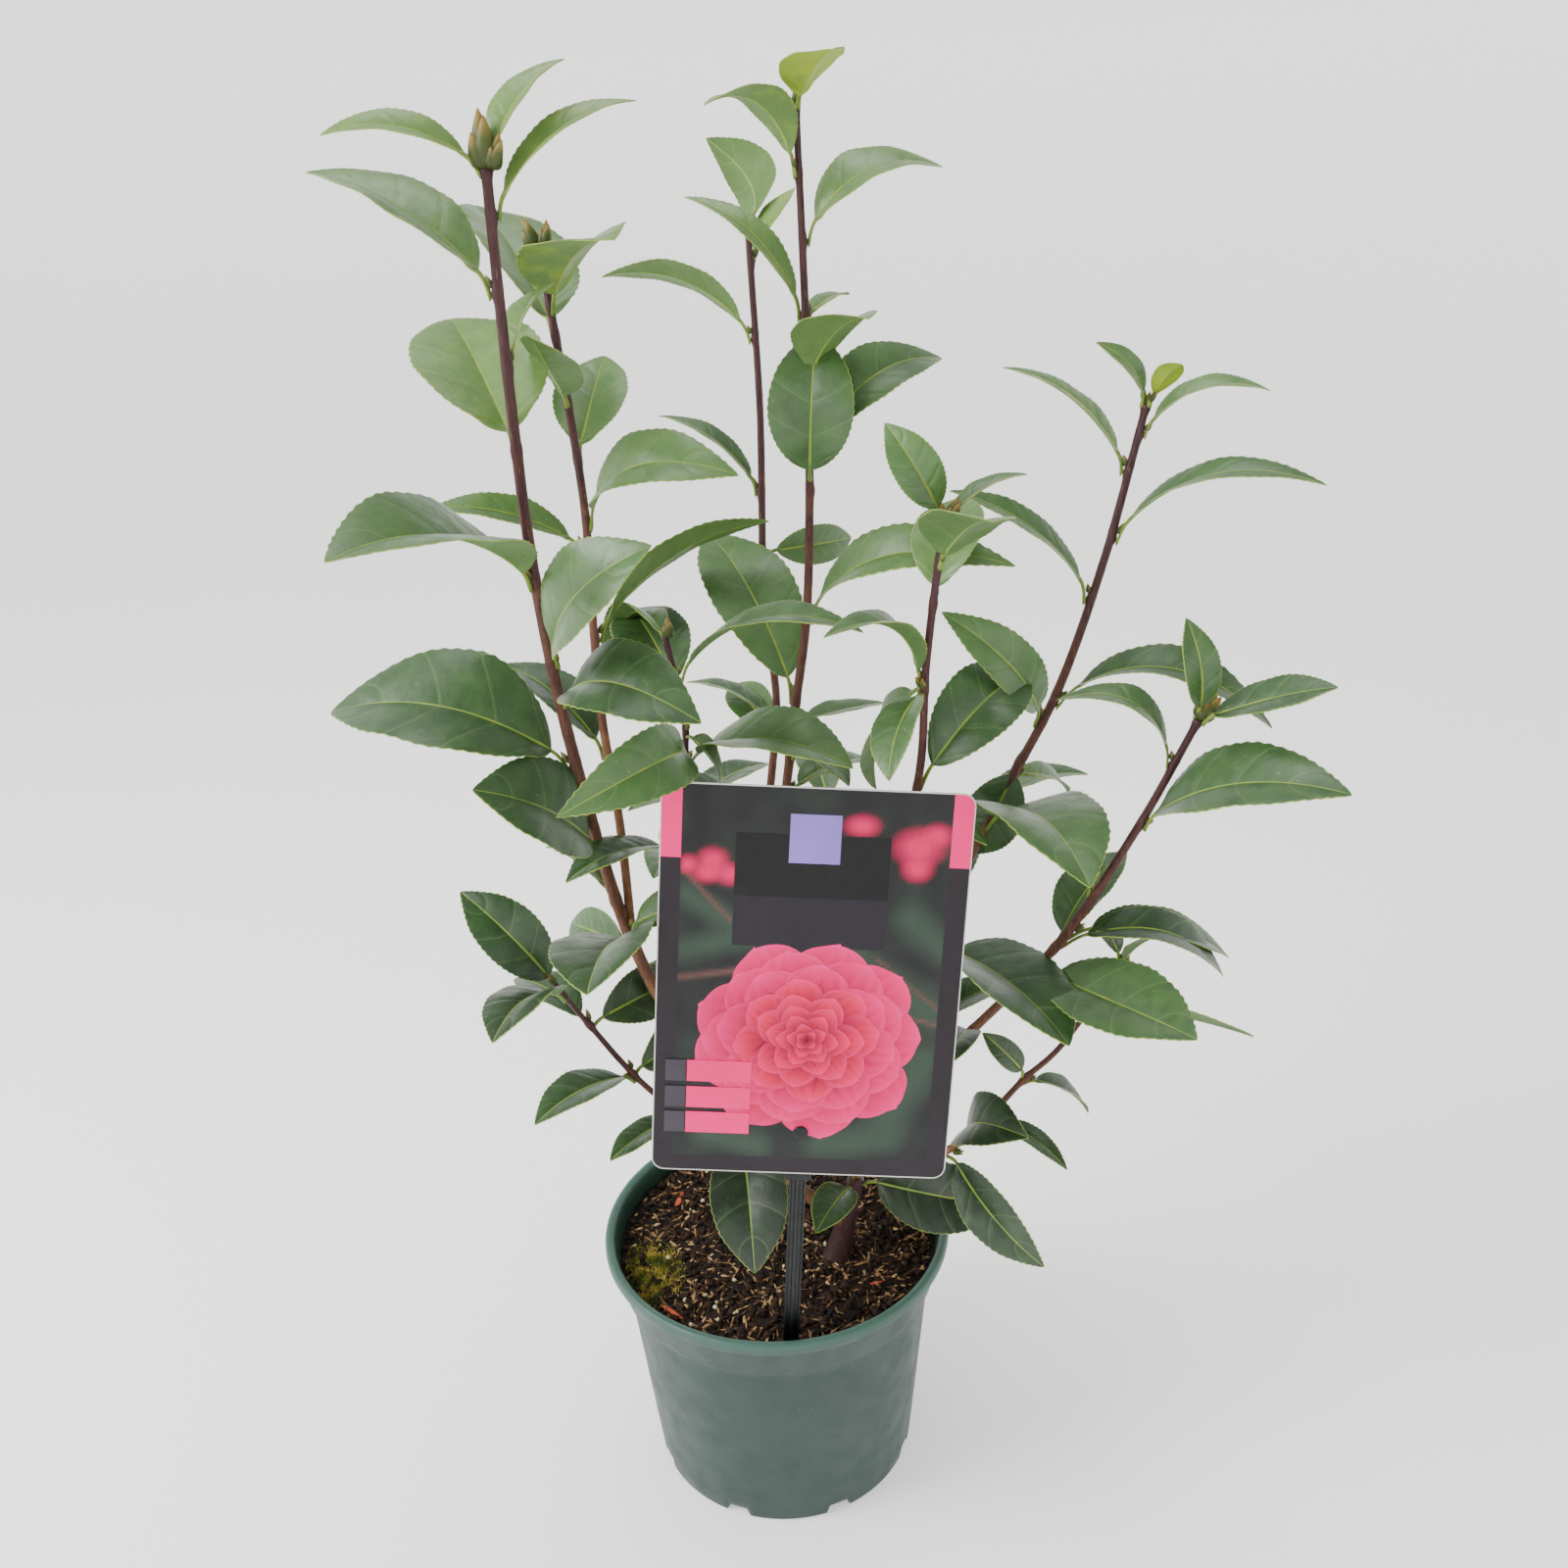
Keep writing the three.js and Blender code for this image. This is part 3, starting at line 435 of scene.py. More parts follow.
SHOOTS = {
    "left_leader": {
        "line": [[36, -13, 150], [-5, -18, 205], [-59, -22, 322], [-80, -28, 427], [-89, -36, 518],
            [-90, -44, 615], [-89, -48, 685]],
        "foot": 3.6, "tip": 2,
        "leaves": [
            [0.16, -85, -35, 72, 0.7, 0.1, 0], [0.37, 135, -5, 50, 0.58, 0.05, 50],
            [0.38, -97, 15, 86, 0.72, 0.08, -10], [0.39, -40, 30, 56, 0.46, 0.05, -40],
            [0.42, 135, 15, 50, 0.58, 0.1, -20], [0.47, -135, 40, 78, 0.8, 0.1, 50],
            [0.55, 175, 15, 112, 0.7, 0.16, 25], [0.61, -40, 5, 82, 0.64, 0.2, -30],
            [0.64, -40, 45, 84, 0.64, 0.14, -65], [0.71, -120, 20, 116, 0.58, 0.1, 15],
            [0.81, 115, 30, 96, 0.76, 0.02, 5], [0.87, 55, 45, 40, 0.78, 0.08, 20],
            [0.92, 170, 35, 84, 0.62, 0.08, 10], [0.97, 20, 35, 70, 0.28, 0.12, -20],
            [1, -170, 15, 58, 0.36, 0.14, 30], [1, 40, 45, 52, 0.46, 0.1, -5],
        ],
    },
    "left_inner": {
        "line": [[-63, -22, 345], [-65, -14, 395], [-70, -5, 447], [-71, 2, 488], [-71, 10, 541],
            [-82, 25, 653]],
        "foot": 2.2, "tip": 1.8,
        "leaves": [
            [0.27, 145, 30, 72, 0.52, 0.1, 0], [0.45, 30, 25, 100, 0.34, 0.1, 45],
            [0.58, -175, 20, 70, 0.36, 0.1, 25], [0.62, -30, 20, 82, 0.56, 0.22, -35],
            [0.71, 80, 35, 66, 0.66, 0, -5], [0.79, -95, 35, 58, 0.6, -0.02, 25],
            [0.88, 120, 35, 96, 0.7, 0.04, -15], [0.92, -60, 25, 74, 0.78, 0.08, -10],
        ],
    },
    "left_low": {
        "line": [[38, -12, 155], [-10, -22, 205], [-58, -30, 252], [-86, -40, 301], [-99, -46, 328]],
        "foot": 2, "tip": 1.3,
        "leaves": [
            [0.52, -130, 5, 50, 0.46, 0.05, 0], [0.68, -130, 10, 64, 0.52, 0.08, 0],
            [0.69, 55, 0, 48, 0.7, 0.1, -60], [0.86, 45, 0, 60, 0.58, 0.1, -50],
            [0.86, 140, 10, 52, 0.58, 0.1, 0], [0.96, -110, 15, 66, 0.64, 0.12, -10],
            [0.98, 170, 50, 64, 0.58, 0.12, 45],
        ],
    },
    "centre_back": {
        "line": [[44, -6, 176], [25, 25, 260], [5, 50, 345], [12, 66, 425], [8, 72, 473],
            [10, 84, 570], [8, 95, 654]],
        "foot": 2.6, "tip": 1.6,
        "leaves": [
            *spiral(0.25, 0.42, 2, 60, 15, 70), [0.49, 120, 25, 46, 0.64, 0.1, 20],
            [0.51, 155, 20, 52, 0.52, 0.1, -10], [0.69, 25, 0, 50, 0.52, 0.1, -80],
            [0.75, 155, 35, 64, 0.34, 0.1, 0], [0.9, -175, 25, 76, 0.4, 0.16, -30],
            [0.97, 35, 50, 40, 0.52, 0.05, 0], [1, 110, 40, 60, 0.7, 0.22, -105],
        ],
    },
    "centre_leader": {
        "line": [[44, -6, 176], [22, 4, 280], [12, 8, 360], [21, 12, 439], [28, 14, 485],
            [32, 16, 571], [31, 22, 705]],
        "foot": 3, "tip": 1.5,
        "leaves": [
            *spiral(0.2, 0.42, 3, 110, 10, 66), [0.46, -55, 0, 44, 0.52, 0.1, 10],
            [0.49, 30, 0, 50, 0.46, 0, 0], [0.51, 120, 40, 104, 0.54, 0.12, 10],
            [0.59, -30, 20, 104, 0.34, 0.2, -35], [0.7, 35, 85, 68, 0.72, 0.2, -50],
            [0.73, 20, 30, 74, 0.52, 0.24, -35], [0.79, -65, 30, 62, 0.7, 0.1, 0],
            [0.84, 160, 45, 72, 0.28, 0.14, 20], [0.84, 60, 10, 40, 0.4, 0.05, 0],
            [0.9, 10, 25, 66, 0.62, 0.2, -20], [0.95, -140, 30, 54, 0.6, 0.26, -10],
            [1, -70, 25, 42, 0.8, 0.04, -5],
        ],
    },
    "centre_short": {
        "line": [[5, -4, 270], [-25, -8, 330], [-38, -10, 370], [-31, -10, 440], [-37, -10, 486]],
        "foot": 2, "tip": 1.3,
        "leaves": [
            *spiral(0.3, 0.52, 2, 80, 10, 60), [0.74, -120, 5, 92, 0.42, 0.26, 55],
            [0.73, -35, 10, 92, 0.6, 0.12, -5], [0.79, -65, -20, 42, 0.58, 0.1, 80],
            [0.87, 115, 25, 66, 0.7, 0.1, 10], [0.91, -25, 20, 96, 0.34, 0.16, -5],
            [0.98, 125, -15, 62, 0.46, 0.28, -20],
        ],
    },
    "front_right": {
        "line": [[44, -6, 176], [50, -14, 260], [58, -24, 340], [76, -34, 422], [78, -46, 478],
            [84, -58, 545]],
        "foot": 2.6, "tip": 1.6,
        "leaves": [
            *spiral(0.25, 0.42, 2, 30, 10, 56), [0.6, -42, 2, 41, 0.5, 0.1, 0],
            [0.65, 35, 30, 78, 0.58, 0.28, -35], [0.79, -155, 35, 56, 0.58, 0.28, 0],
            [0.79, -115, -25, 52, 0.58, 0.1, -20], [0.8, 135, -60, 66, 0.58, 0.1, 30],
            [0.9, 65, 40, 56, 0.7, 0.1, 0], [0.95, -75, 30, 62, 0.76, 0.06, 10],
            [1, 15, 25, 38, 0.44, 0.08, 0], [1, 175, 60, 44, 0.58, 0.14, 75],
        ],
    },
    "right_leader": {
        "line": [[44, -6, 176], [70, 0, 255], [90, 2, 325], [116, 4, 385], [145, 8, 441],
            [166, 12, 504], [184, 18, 576]],
        "foot": 3, "tip": 1.8,
        "leaves": [
            *spiral(0.16, 0.3, 2, 70, 15, 66), [0.34, -60, 0, 102, 0.7, 0.06, 10],
            [0.42, 110, 20, 70, 0.5, 0.1, 0], [0.51, -75, 10, 106, 0.66, 0.14, 5],
            [0.57, 35, -25, 42, 0.52, 0.1, -20], [0.59, 175, -65, 54, 0.7, 0.1, 80],
            [0.64, -160, 50, 78, 0.42, 0.18, 75], [0.67, -25, 0, 98, 0.34, 0.24, -15],
            [0.79, -175, 40, 84, 0.28, 0.1, 25], [0.86, -30, 20, 94, 0.28, 0.16, -15],
            [0.93, 160, 40, 72, 0.4, 0.1, 0], [0.97, -10, 20, 56, 0.42, 0.18, -10],
            [1, -165, 50, 36, 0.42, 0.14, 55], [1, -60, 45, 26, 0.56, 0.1, 35],
        ],
    },
    "right_outer": {
        "line": [[47, -8, 200], [96, -16, 263], [144, -30, 329], [176, -40, 393], [199, -46, 448]],
        "foot": 2.7, "tip": 1.8,
        "leaves": [
            [0.18, 100, 15, 60, 0.5, 0.1, 0], [0.32, -112, 14, 48, 0.5, 0.1, 0],
            [0.49, -60, 10, 102, 0.54, -0.02, -20], [0.45, -10, -10, 112, 0.4, 0, 30],
            [0.54, 35, 40, 58, 0.64, 0.1, 0], [0.56, 0, -15, 82, 0.4, 0.22, -15],
            [0.58, 10, -15, 88, 0.4, 0.1, -10], [0.66, -175, 55, 44, 0.7, 0.15, 0],
            [0.81, -45, 25, 100, 0.54, 0.12, -25], [0.92, 165, 30, 58, 0.44, 0.28, 10],
            [1, -35, 25, 60, 0.48, 0.02, -25], [1, 145, 80, 44, 0.5, 0.18, 45],
        ],
    },
    "right_low": {
        "line": [[46, -8, 182], [95, -14, 199], [134, -6, 235], [152, -2, 250], [186, 12, 292]],
        "foot": 2, "tip": 1.3,
        "leaves": [
            [0.27, -55, -25, 74, 0.46, 0.1, -60], [0.33, -65, 35, 60, 0.7, 0.2, -40],
            [0.41, -50, 0, 52, 0.34, 0.1, 0], [0.57, 10, -35, 44, 0.52, 0.1, 0],
            [0.58, -180, 50, 34, 0.52, 0.1, 60], [0.99, -45, 45, 40, 0.52, 0.1, 10],
            [1, 100, 15, 30, 0.52, 0.1, 0],
        ],
    },
    "back_left": {
        "line": [[44, -6, 176], [20, 40, 230], [-25, 80, 285], [-45, 100, 345]],
        "foot": 2.4, "tip": 1.5,
        "leaves": spiral(0.35, 1, 6, 40, 18, 74),
    },
    "back_centre": {
        "line": [[44, -6, 176], [50, 50, 225], [45, 92, 280], [40, 116, 340]],
        "foot": 2.4, "tip": 1.5,
        "leaves": spiral(0.35, 1, 6, 100, 18, 74),
    },
    "back_right": {
        "line": [[44, -6, 176], [75, 40, 230], [105, 78, 285], [120, 96, 345]],
        "foot": 2.4, "tip": 1.5,
        "leaves": spiral(0.35, 1, 6, 10, 18, 74),
    },
}

BARK_SIDES = 14
BARK_STEP = 2.0


class Limb:
    """A shoot's smooth line, which gives the place, direction and radius at any share of it."""

    def __init__(self, shoot):
        points = np.array(shoot["line"], float)
        points = np.vstack([2 * points[0] - points[1], points, 2 * points[-1] - points[-2]])
        walk = []
        for p0, p1, p2, p3 in zip(points, points[1:], points[2:], points[3:]):
            d0, d1, d2 = (np.linalg.norm(b - a) ** 0.5 for a, b in ((p0, p1), (p1, p2), (p2, p3)))
            m1 = ((p1 - p0) / d0 - (p2 - p0) / (d0 + d1) + (p2 - p1) / d1) * d1
            m2 = ((p2 - p1) / d1 - (p3 - p1) / (d1 + d2) + (p3 - p2) / d2) * d1
            for t in np.linspace(0, 1, 60, endpoint=False):
                walk.append(p1 + m1 * t + (3 * (p2 - p1) - 2 * m1 - m2) * t ** 2
                            + (2 * (p1 - p2) + m1 + m2) * t ** 3)
        walk.append(points[-2])
        self.walk = np.array(walk)
        steps = np.linalg.norm(np.diff(self.walk, axis=0), axis=1)
        self.reach = np.concatenate([[0], np.cumsum(steps)])
        self.length = self.reach[-1]
        self.foot, self.tip = shoot["foot"], shoot["tip"]

    def at(self, share):
        return np.array([np.interp(share * self.length, self.reach, axis) for axis in self.walk.T])

    def along(self, share):
        ahead = self.at(min(1, share + 0.004)) - self.at(max(0, share - 0.004))
        return ahead / np.linalg.norm(ahead)

    def radius(self, share):
        return self.foot + (self.tip - self.foot) * share


def unit(v):
    return v / np.linalg.norm(v)


def bark_tube(limb, nodes, flare=0.0, weathering=1.0):
    """The skin of a limb, swollen under each leaf and ridged along the grain, and its age
    at each point: 0 at the soft tip, 1 in old wood."""
    rows = int(limb.length / BARK_STEP) + 1
    points, age = [], []
    for i in range(rows):
        share = i / (rows - 1)
        along, middle = limb.along(share), limb.at(share)
        first = unit(np.array((0, 1, 0)) - along * along[1])
        second = np.cross(along, first)
        for k in range(BARK_SIDES):
            turn = 2 * math.pi * k / BARK_SIDES
            out = first * math.cos(turn) + second * math.sin(turn)
            radius = limb.radius(share) * (1 + flare * math.exp(-6 * share))
            for spot, bearing in nodes:
                away = (share - spot) * limb.length
                if -7 < away < 6:
                    faces = 0.5 + 0.5 * float(out @ bearing)
                    radius += 0.75 * faces * math.exp(-((away + 1) / 2.6) ** 2)
                    radius += 0.12 * math.exp(-((away - 1.5) / 0.8) ** 2)
            grain = noise.noise((turn * 1.6, middle[2] * 0.05, limb.length))
            knots = noise.noise((middle[0] * 0.3 + turn, middle[2] * 0.22, 4))
            radius *= 1 + 0.05 * grain + 0.04 * knots
            points.append(middle + out * radius)
            age.append((1 - 0.9 * share) * weathering)
    faces = grid_faces(rows, BARK_SIDES, closed=True)
    low, high, last = len(points), len(points) + 1, (rows - 1) * BARK_SIDES
    points += [limb.at(0), limb.at(1) + limb.along(1) * limb.tip * 0.6]
    age += [weathering, 0]
    faces += [(low, (k + 1) % BARK_SIDES, k) for k in range(BARK_SIDES)]
    faces += [(high, last + k, last + (k + 1) % BARK_SIDES) for k in range(BARK_SIDES)]
    return points, faces, age


# Satin young rind with pale pores, weathering to a dull, finely streaked tan, darker towards its foot
bark, tree, shader, place = finish("camellia_bark", {"IOR": 1.45, "Specular IOR Level": 0.35})
years = add(tree, "Attribute", attribute_name="age", out="Fac")
stretch = add(tree, "Mapping", {"Vector": place, "Scale": (1, 1, 0.16)})
streak = add(tree, "TexNoise", {"Vector": stretch, "Scale": per(1.3), "Detail": 4})
patch = add(tree, "TexNoise", {"Vector": place, "Scale": per(16), "Detail": 3})
patch = add(tree, "Math", {0: patch, 1: 0.55}, operation="MULTIPLY")
aged = add(tree, "Math", {0: years, 1: patch}, operation="ADD")
wood = add(tree, "ValToRGB", {"Fac": aged},
           [(0.3, "#391d22"), (0.62, "#4a2a27"), (0.95, "#6d4936"), (1.0, "#80593f")])
shade = {"Value": streak, "From Min": 0.35, "From Max": 0.65, "To Min": 0.72, "To Max": 1.2}
shade = add(tree, "MapRange", shade)
wood = add(tree, "MixRGB", {"Fac": 1.0, "Color1": wood, "Color2": shade}, blend_type="MULTIPLY")
pore = add(tree, "TexVoronoi", {"Vector": stretch, "Scale": per(2.6), "Randomness": 1.0})
pores = {"Value": pore, "From Min": 0.08, "From Max": 0.16, "To Min": 0.3, "To Max": 0.0}
pores = add(tree, "MapRange", pores)
wood = add(tree, "MixRGB", {"Fac": pores, "Color1": wood, "Color2": srgb("#8a6c54")})
# The wood is multiplied darker towards its foot, below about 185 mm
height = add(tree, "SeparateXYZ", {"Vector": place}, out="Z")
darker_foot = add(tree, "MapRange", {"Value": height, "From Min": 135 * MM, "From Max": 185 * MM, "To Min": 0.35})
wood = add(tree, "MixRGB", {"Fac": 1.0, "Color1": wood, "Color2": darker_foot}, blend_type="MULTIPLY")
rough = add(tree, "MapRange", {"Value": aged, "From Min": 0.3, "To Min": 0.42, "To Max": 0.78})
ridges = add(tree, "Bump", {"Height": streak, "Distance": 0.25 * MM})
grain = add(tree, "TexNoise", {"Vector": place, "Scale": per(0.6), "Detail": 2})
relief = add(tree, "Bump", {"Height": grain, "Distance": 0.06 * MM, "Normal": ridges})
wire(tree, shader, {"Base Color": wood, "Roughness": rough, "Normal": relief})


def heading(bearing, rise):
    """The unit direction of a bearing from +X and a rise, both in degrees."""
    turn, climb = math.radians(bearing), math.radians(rise)
    return np.array((math.cos(climb) * math.cos(turn), math.cos(climb) * math.sin(turn), math.sin(climb)))


limbs = {name: Limb(shoot) for name, shoot in {"trunk": TRUNK, **SHOOTS}.items()}
for name, limb in limbs.items():
    shoot = TRUNK if name == "trunk" else SHOOTS[name]
    nodes = [(row[0], heading(row[1], 0)) for row in shoot["leaves"]]
    node = name if name == "trunk" else f"bough_{name}"
    points, faces, age = bark_tube(limb, nodes, *((0.35, 0.45) if name == "trunk" else ()))
    piece(f"bark_{name}", points, faces, [bark], "bark", [node], values={"age": age})

# ---- Leaves
# Leathery evergreen leaves on short stalks: dark and satin above, paler and matt below, with
# a sunk yellow-green midrib, fine blunt teeth and a thin pale margin. Each stands on its node.
STALK_STATIONS = 6
BLADE_STATIONS = 47
ACROSS = np.array([-1, -0.97, -0.8, -0.58, -0.36, -0.17, -0.06, 0, 0.06, 0.17, 0.36, 0.58, 0.8, 0.97, 1])
RIB_HALF_WIDTH = 0.62
MARGIN_WIDTH = 0.32
BLADE_THICKNESS = 0.45
STALK_THICKNESS = 2.0
VEIN_PAIRS = 8
VEIN_SWEEP = 0.17
TILES = 4
UPPER, LOWER, RIB, MARGIN, STALK = range(5)
chance = np.random.default_rng(5)


def leaf_faces():
    """The faces of one leaf, top and underside and the edge between, with each one's finish."""
    rows, columns = STALK_STATIONS + BLADE_STATIONS, len(ACROSS)
    top, count = grid_faces(rows, columns), rows * columns
    faces, kinds = [], []
    middle = columns // 2
    for i, quad in enumerate(top):
        row, column = divmod(i, columns - 1)
        in_stalk = row < STALK_STATIONS - 1
        at_margin = column in (0, columns - 2)
        at_rib = column in (middle - 1, middle)
        kind = STALK if in_stalk else MARGIN if at_margin else RIB if at_rib else UPPER
        faces.append(quad)
        kinds.append(kind)
        under = STALK if in_stalk else RIB if at_rib else LOWER
        faces.append(tuple(count + k for k in quad[::-1]))
        kinds.append(under)
    for row in range(rows - 1):
        for column, flip in ((0, False), (columns - 1, True)):
            a, b = row * columns + column, (row + 1) * columns + column
            quad = (a, b, count + b, count + a)
            faces.append(quad[::-1] if flip else quad)
            kinds.append(STALK if row < STALK_STATIONS - 1 else MARGIN)
    for column in range(columns - 1):
        for row, flip in ((0, True), (rows - 1, False)):
            a, b = row * columns + column, row * columns + column + 1
            quad = (a, b, count + b, count + a)
            faces.append(quad[::-1] if flip else quad)
            kinds.append(STALK if row == 0 else MARGIN)
    return faces, kinds


def leaf_frame(limb, row):
    """Where a leaf stands and its own directions: along it, across it, and out of its face."""
    share, bearing, rise, length, width, arch, roll = row
    along = heading(bearing, rise)
    level = unit(np.cross(along, (0, 0, 1)))
    upright = np.cross(level, along)
    lay = math.radians(roll)
    side = level * math.cos(lay) + upright * math.sin(lay)
    face = upright * math.cos(lay) - level * math.sin(lay)
    return limb.at(share), limb.along(share), along, side, face


def leaf_points(limb, row):
    """The points of one leaf: both sides of a folded, arched, gently waved blade on its stalk."""
    share, bearing, rise, length, width, arch, roll = row
    foot, stem, along, side, face = leaf_frame(limb, row)
    radius = limb.radius(share)
    stalk = min(9.0, max(4.0, 0.1 * length))
    blade = length - stalk
    fold = math.radians(chance.uniform(21, 29))
    wave, ripple = chance.uniform(0, 6.28, 2)
    curl = chance.uniform(0.03, 0.06)
    teeth = max(0.14, 0.0036 * length)
    into_stalk = np.linspace(-0.5 * radius, stalk, STALK_STATIONS)
    past = np.linspace(0, 1, BLADE_STATIONS + 1)[1:]
    runs = np.concatenate([into_stalk, stalk + blade * (0.35 * past + 0.65 * (1 - np.cos(np.pi * past)) / 2)])
    rise_up = stem - along * float(stem @ along)
    top, under = [], []
    for i, run in enumerate(runs):
        at = max(0.0, (run - stalk) / blade)
        reach = max(0.0, run) / length
        rib = foot + along * (radius + 0.3 + run)
        rib = rib + face * (arch * length * 4 * reach * (1 - reach) - curl * length * at ** 4)
        rib = rib - rise_up * (0.45 * stalk * max(0.0, 1 - run / stalk) ** 2)
        shape = 1.93 * at ** 0.62 * (1 - at) ** 0.70 * (1 - 0.3 * max(0.0, (at - 0.74) / 0.26) ** 1.5)
        in_blade = min(1.0, at / 0.06)
        narrow = 1.15 - 0.3 * min(1.0, max(0.0, run) / stalk)
        half = max(narrow * (1 - 0.8 * at), width * length / 2 * shape)
        if 0.08 < at < 0.97:
            half += teeth * (1 if i % 2 else -1)
        rib_half = RIB_HALF_WIDTH * (1 - 0.75 * at)
        thick = STALK_THICKNESS * (1 - in_blade) * (1 if run > 1 else 1.25) + BLADE_THICKNESS * in_blade
        for v in ACROSS:
            inner, outer = 0.06, 0.97
            if in_blade >= 1 and half > 2.5:
                reach_out = abs(v)
                if reach_out <= inner:
                    span_out = rib_half * reach_out / inner
                elif reach_out >= outer:
                    span_out = half - MARGIN_WIDTH * (1 - reach_out) / (1 - outer)
                else:
                    part = (reach_out - inner) / (outer - inner)
                    span_out = rib_half + (half - MARGIN_WIDTH - rib_half) * part
            else:
                span_out = half * abs(v)
            x = math.copysign(span_out, v)
            w = span_out / half
            opening = 1 - 0.45 * at
            up = span_out * math.tan(fold) * opening - 0.10 * half * w ** 3
            up += 0.035 * half * w ** 2 * math.sin(2 * math.pi * 1.3 * at + wave) * math.copysign(1, v)
            up += 0.02 * half * w ** 2 * math.sin(2 * math.pi * 3.1 * at + ripple)
            vein = math.cos(2 * math.pi * VEIN_PAIRS * (at - VEIN_SWEEP * w ** 1.3))
            up -= 0.16 * vein * math.sin(math.pi * min(1, w)) * in_blade * min(1, half / 9)
            groove = math.exp(-(span_out / 0.9) ** 2) * (1 - 0.7 * at) * in_blade
            bulge = math.sqrt(max(0.0, 1 - v * v)) * (1 - in_blade)
            high = 0.5 * thick * (in_blade + bulge) - 0.4 * groove
            low = 0.5 * thick * (in_blade + bulge) + 0.55 * groove
            centre = rib + side * x + face * up * in_blade
            top.append(centre + face * high)
            under.append(centre - face * low)
    return np.array(top + under)


def leaf_maps(tile):
    """A leaf's own coordinates, along and across, and its place on the piece's flat layout."""
    rows = STALK_STATIONS + BLADE_STATIONS
    blade = np.linspace(0, 1, BLADE_STATIONS + 1)[1:]
    at = np.concatenate([np.zeros(STALK_STATIONS), 0.35 * blade + 0.65 * (1 - np.cos(np.pi * blade)) / 2])
    u = np.repeat(at, len(ACROSS))
    v = np.tile((ACROSS + 1) / 2, rows)
    own = np.column_stack([np.tile(u, 2), np.tile(v, 2)])
    line = np.repeat(np.linspace(0, 1, rows), len(ACROSS))
    column, row = tile % TILES, tile // TILES
    layout = []
    for below in (0, 1):
        x = (column + 0.04 + 0.92 * line) / TILES
        y = (row + 0.03 + below * 0.5 + 0.44 * v) / TILES
        layout.append(np.column_stack([x, y]))
    return own, np.vstack(layout)


def leaf_side(name, stops, roughness, gloss, coat, veins, vein_code):
    """One side of the blade: its colour by the leaf's age, thin veins, and a leathery grain."""
    made, tree, shader, place = finish(name, {
        "IOR": 1.45, "Specular IOR Level": gloss,
        "Coat Weight": coat, "Coat Roughness": 0.34, "Coat IOR": 1.45,
    })
    age = add(tree, "Attribute", attribute_name="age", out="Fac")
    blotch = add(tree, "TexNoise", {"Vector": place, "Scale": per(9), "Detail": 4})
    mottle = add(tree, "MapRange", {"Value": blotch, "From Min": 0.3, "From Max": 0.7, "To Min": -0.08,
                                    "To Max": 0.08})
    shift = add(tree, "Math", {0: age, 1: mottle}, operation="ADD", use_clamp=True)
    tone = add(tree, "ValToRGB", {"Fac": shift}, stops)
    own = add(tree, "UVMap", uv_map="blade")
    across = add(tree, "SeparateXYZ", {"Vector": own}, out="Y")
    away = add(tree, "MapRange", {"Value": across, "To Min": -1.0})
    away = add(tree, "Math", {0: away}, operation="ABSOLUTE")
    away = add(tree, "Math", {0: away, 1: 1.3}, operation="POWER")
    away = add(tree, "Math", {0: away, 1: VEIN_SWEEP}, operation="MULTIPLY")
    along = add(tree, "SeparateXYZ", {"Vector": own}, out="X")
    phase = add(tree, "Math", {0: along, 1: away}, operation="SUBTRACT")
    phase = add(tree, "Math", {0: phase, 1: float(VEIN_PAIRS)}, operation="MULTIPLY")
    phase = add(tree, "Math", {0: phase, 1: 1.0}, operation="PINGPONG")
    line = add(tree, "MapRange", {"Value": phase, "From Max": 0.09, "To Min": veins, "To Max": 0.0})
    tone = add(tree, "MixRGB", {"Fac": line, "Color1": tone, "Color2": srgb(vein_code)})
    dots = add(tree, "TexNoise", {"Vector": place, "Scale": per(1.6), "Detail": 2})
    speck = add(tree, "MapRange", {"Value": dots, "From Min": 0.7, "From Max": 0.76, "To Max": 0.35})
    tone = add(tree, "MixRGB", {"Fac": speck, "Color1": tone, "Color2": srgb("#9aa888")})
    shine = add(tree, "TexNoise", {"Vector": place, "Scale": per(7), "Detail": 4})
    rough = add(tree, "MapRange", {"Value": shine, "From Min": 0.3, "From Max": 0.7, "To Min": roughness - 0.06,
                                   "To Max": roughness + 0.08})
    grain = add(tree, "TexNoise", {"Vector": place, "Scale": per(0.8), "Detail": 2})
    relief = add(tree, "Bump", {"Height": grain, "Distance": 0.05 * MM})
    leather = add(tree, "TexNoise", {"Vector": place, "Scale": per(4), "Detail": 3})
    relief = add(tree, "Bump", {"Height": leather, "Distance": 0.3 * MM, "Normal": relief})
    puckers = add(tree, "MapRange", {"Value": phase, "From Max": 0.3})
    relief = add(tree, "Bump", {"Height": puckers, "Distance": 0.15 * MM, "Normal": relief})
    wire(tree, shader, {"Base Color": tone, "Roughness": rough, "Normal": relief})
    return made


def plain_green(name, code, dark, roughness):
    """The finish of midribs, margins and stalks: one green with a slight drift in tone."""
    sockets = {"IOR": 1.45, "Roughness": roughness, "Specular IOR Level": 0.45}
    made, tree, shader, place = finish(name, sockets)
    drift = add(tree, "TexNoise", {"Vector": place, "Scale": per(12), "Detail": 2})
    tone = add(tree, "ValToRGB", {"Fac": drift}, [(0.35, dark), (0.65, code)])
    grain = add(tree, "TexNoise", {"Vector": place, "Scale": per(0.9), "Detail": 2})
    relief = add(tree, "Bump", {"Height": grain, "Distance": 0.04 * MM})
    wire(tree, shader, {"Base Color": tone, "Normal": relief})
    return made


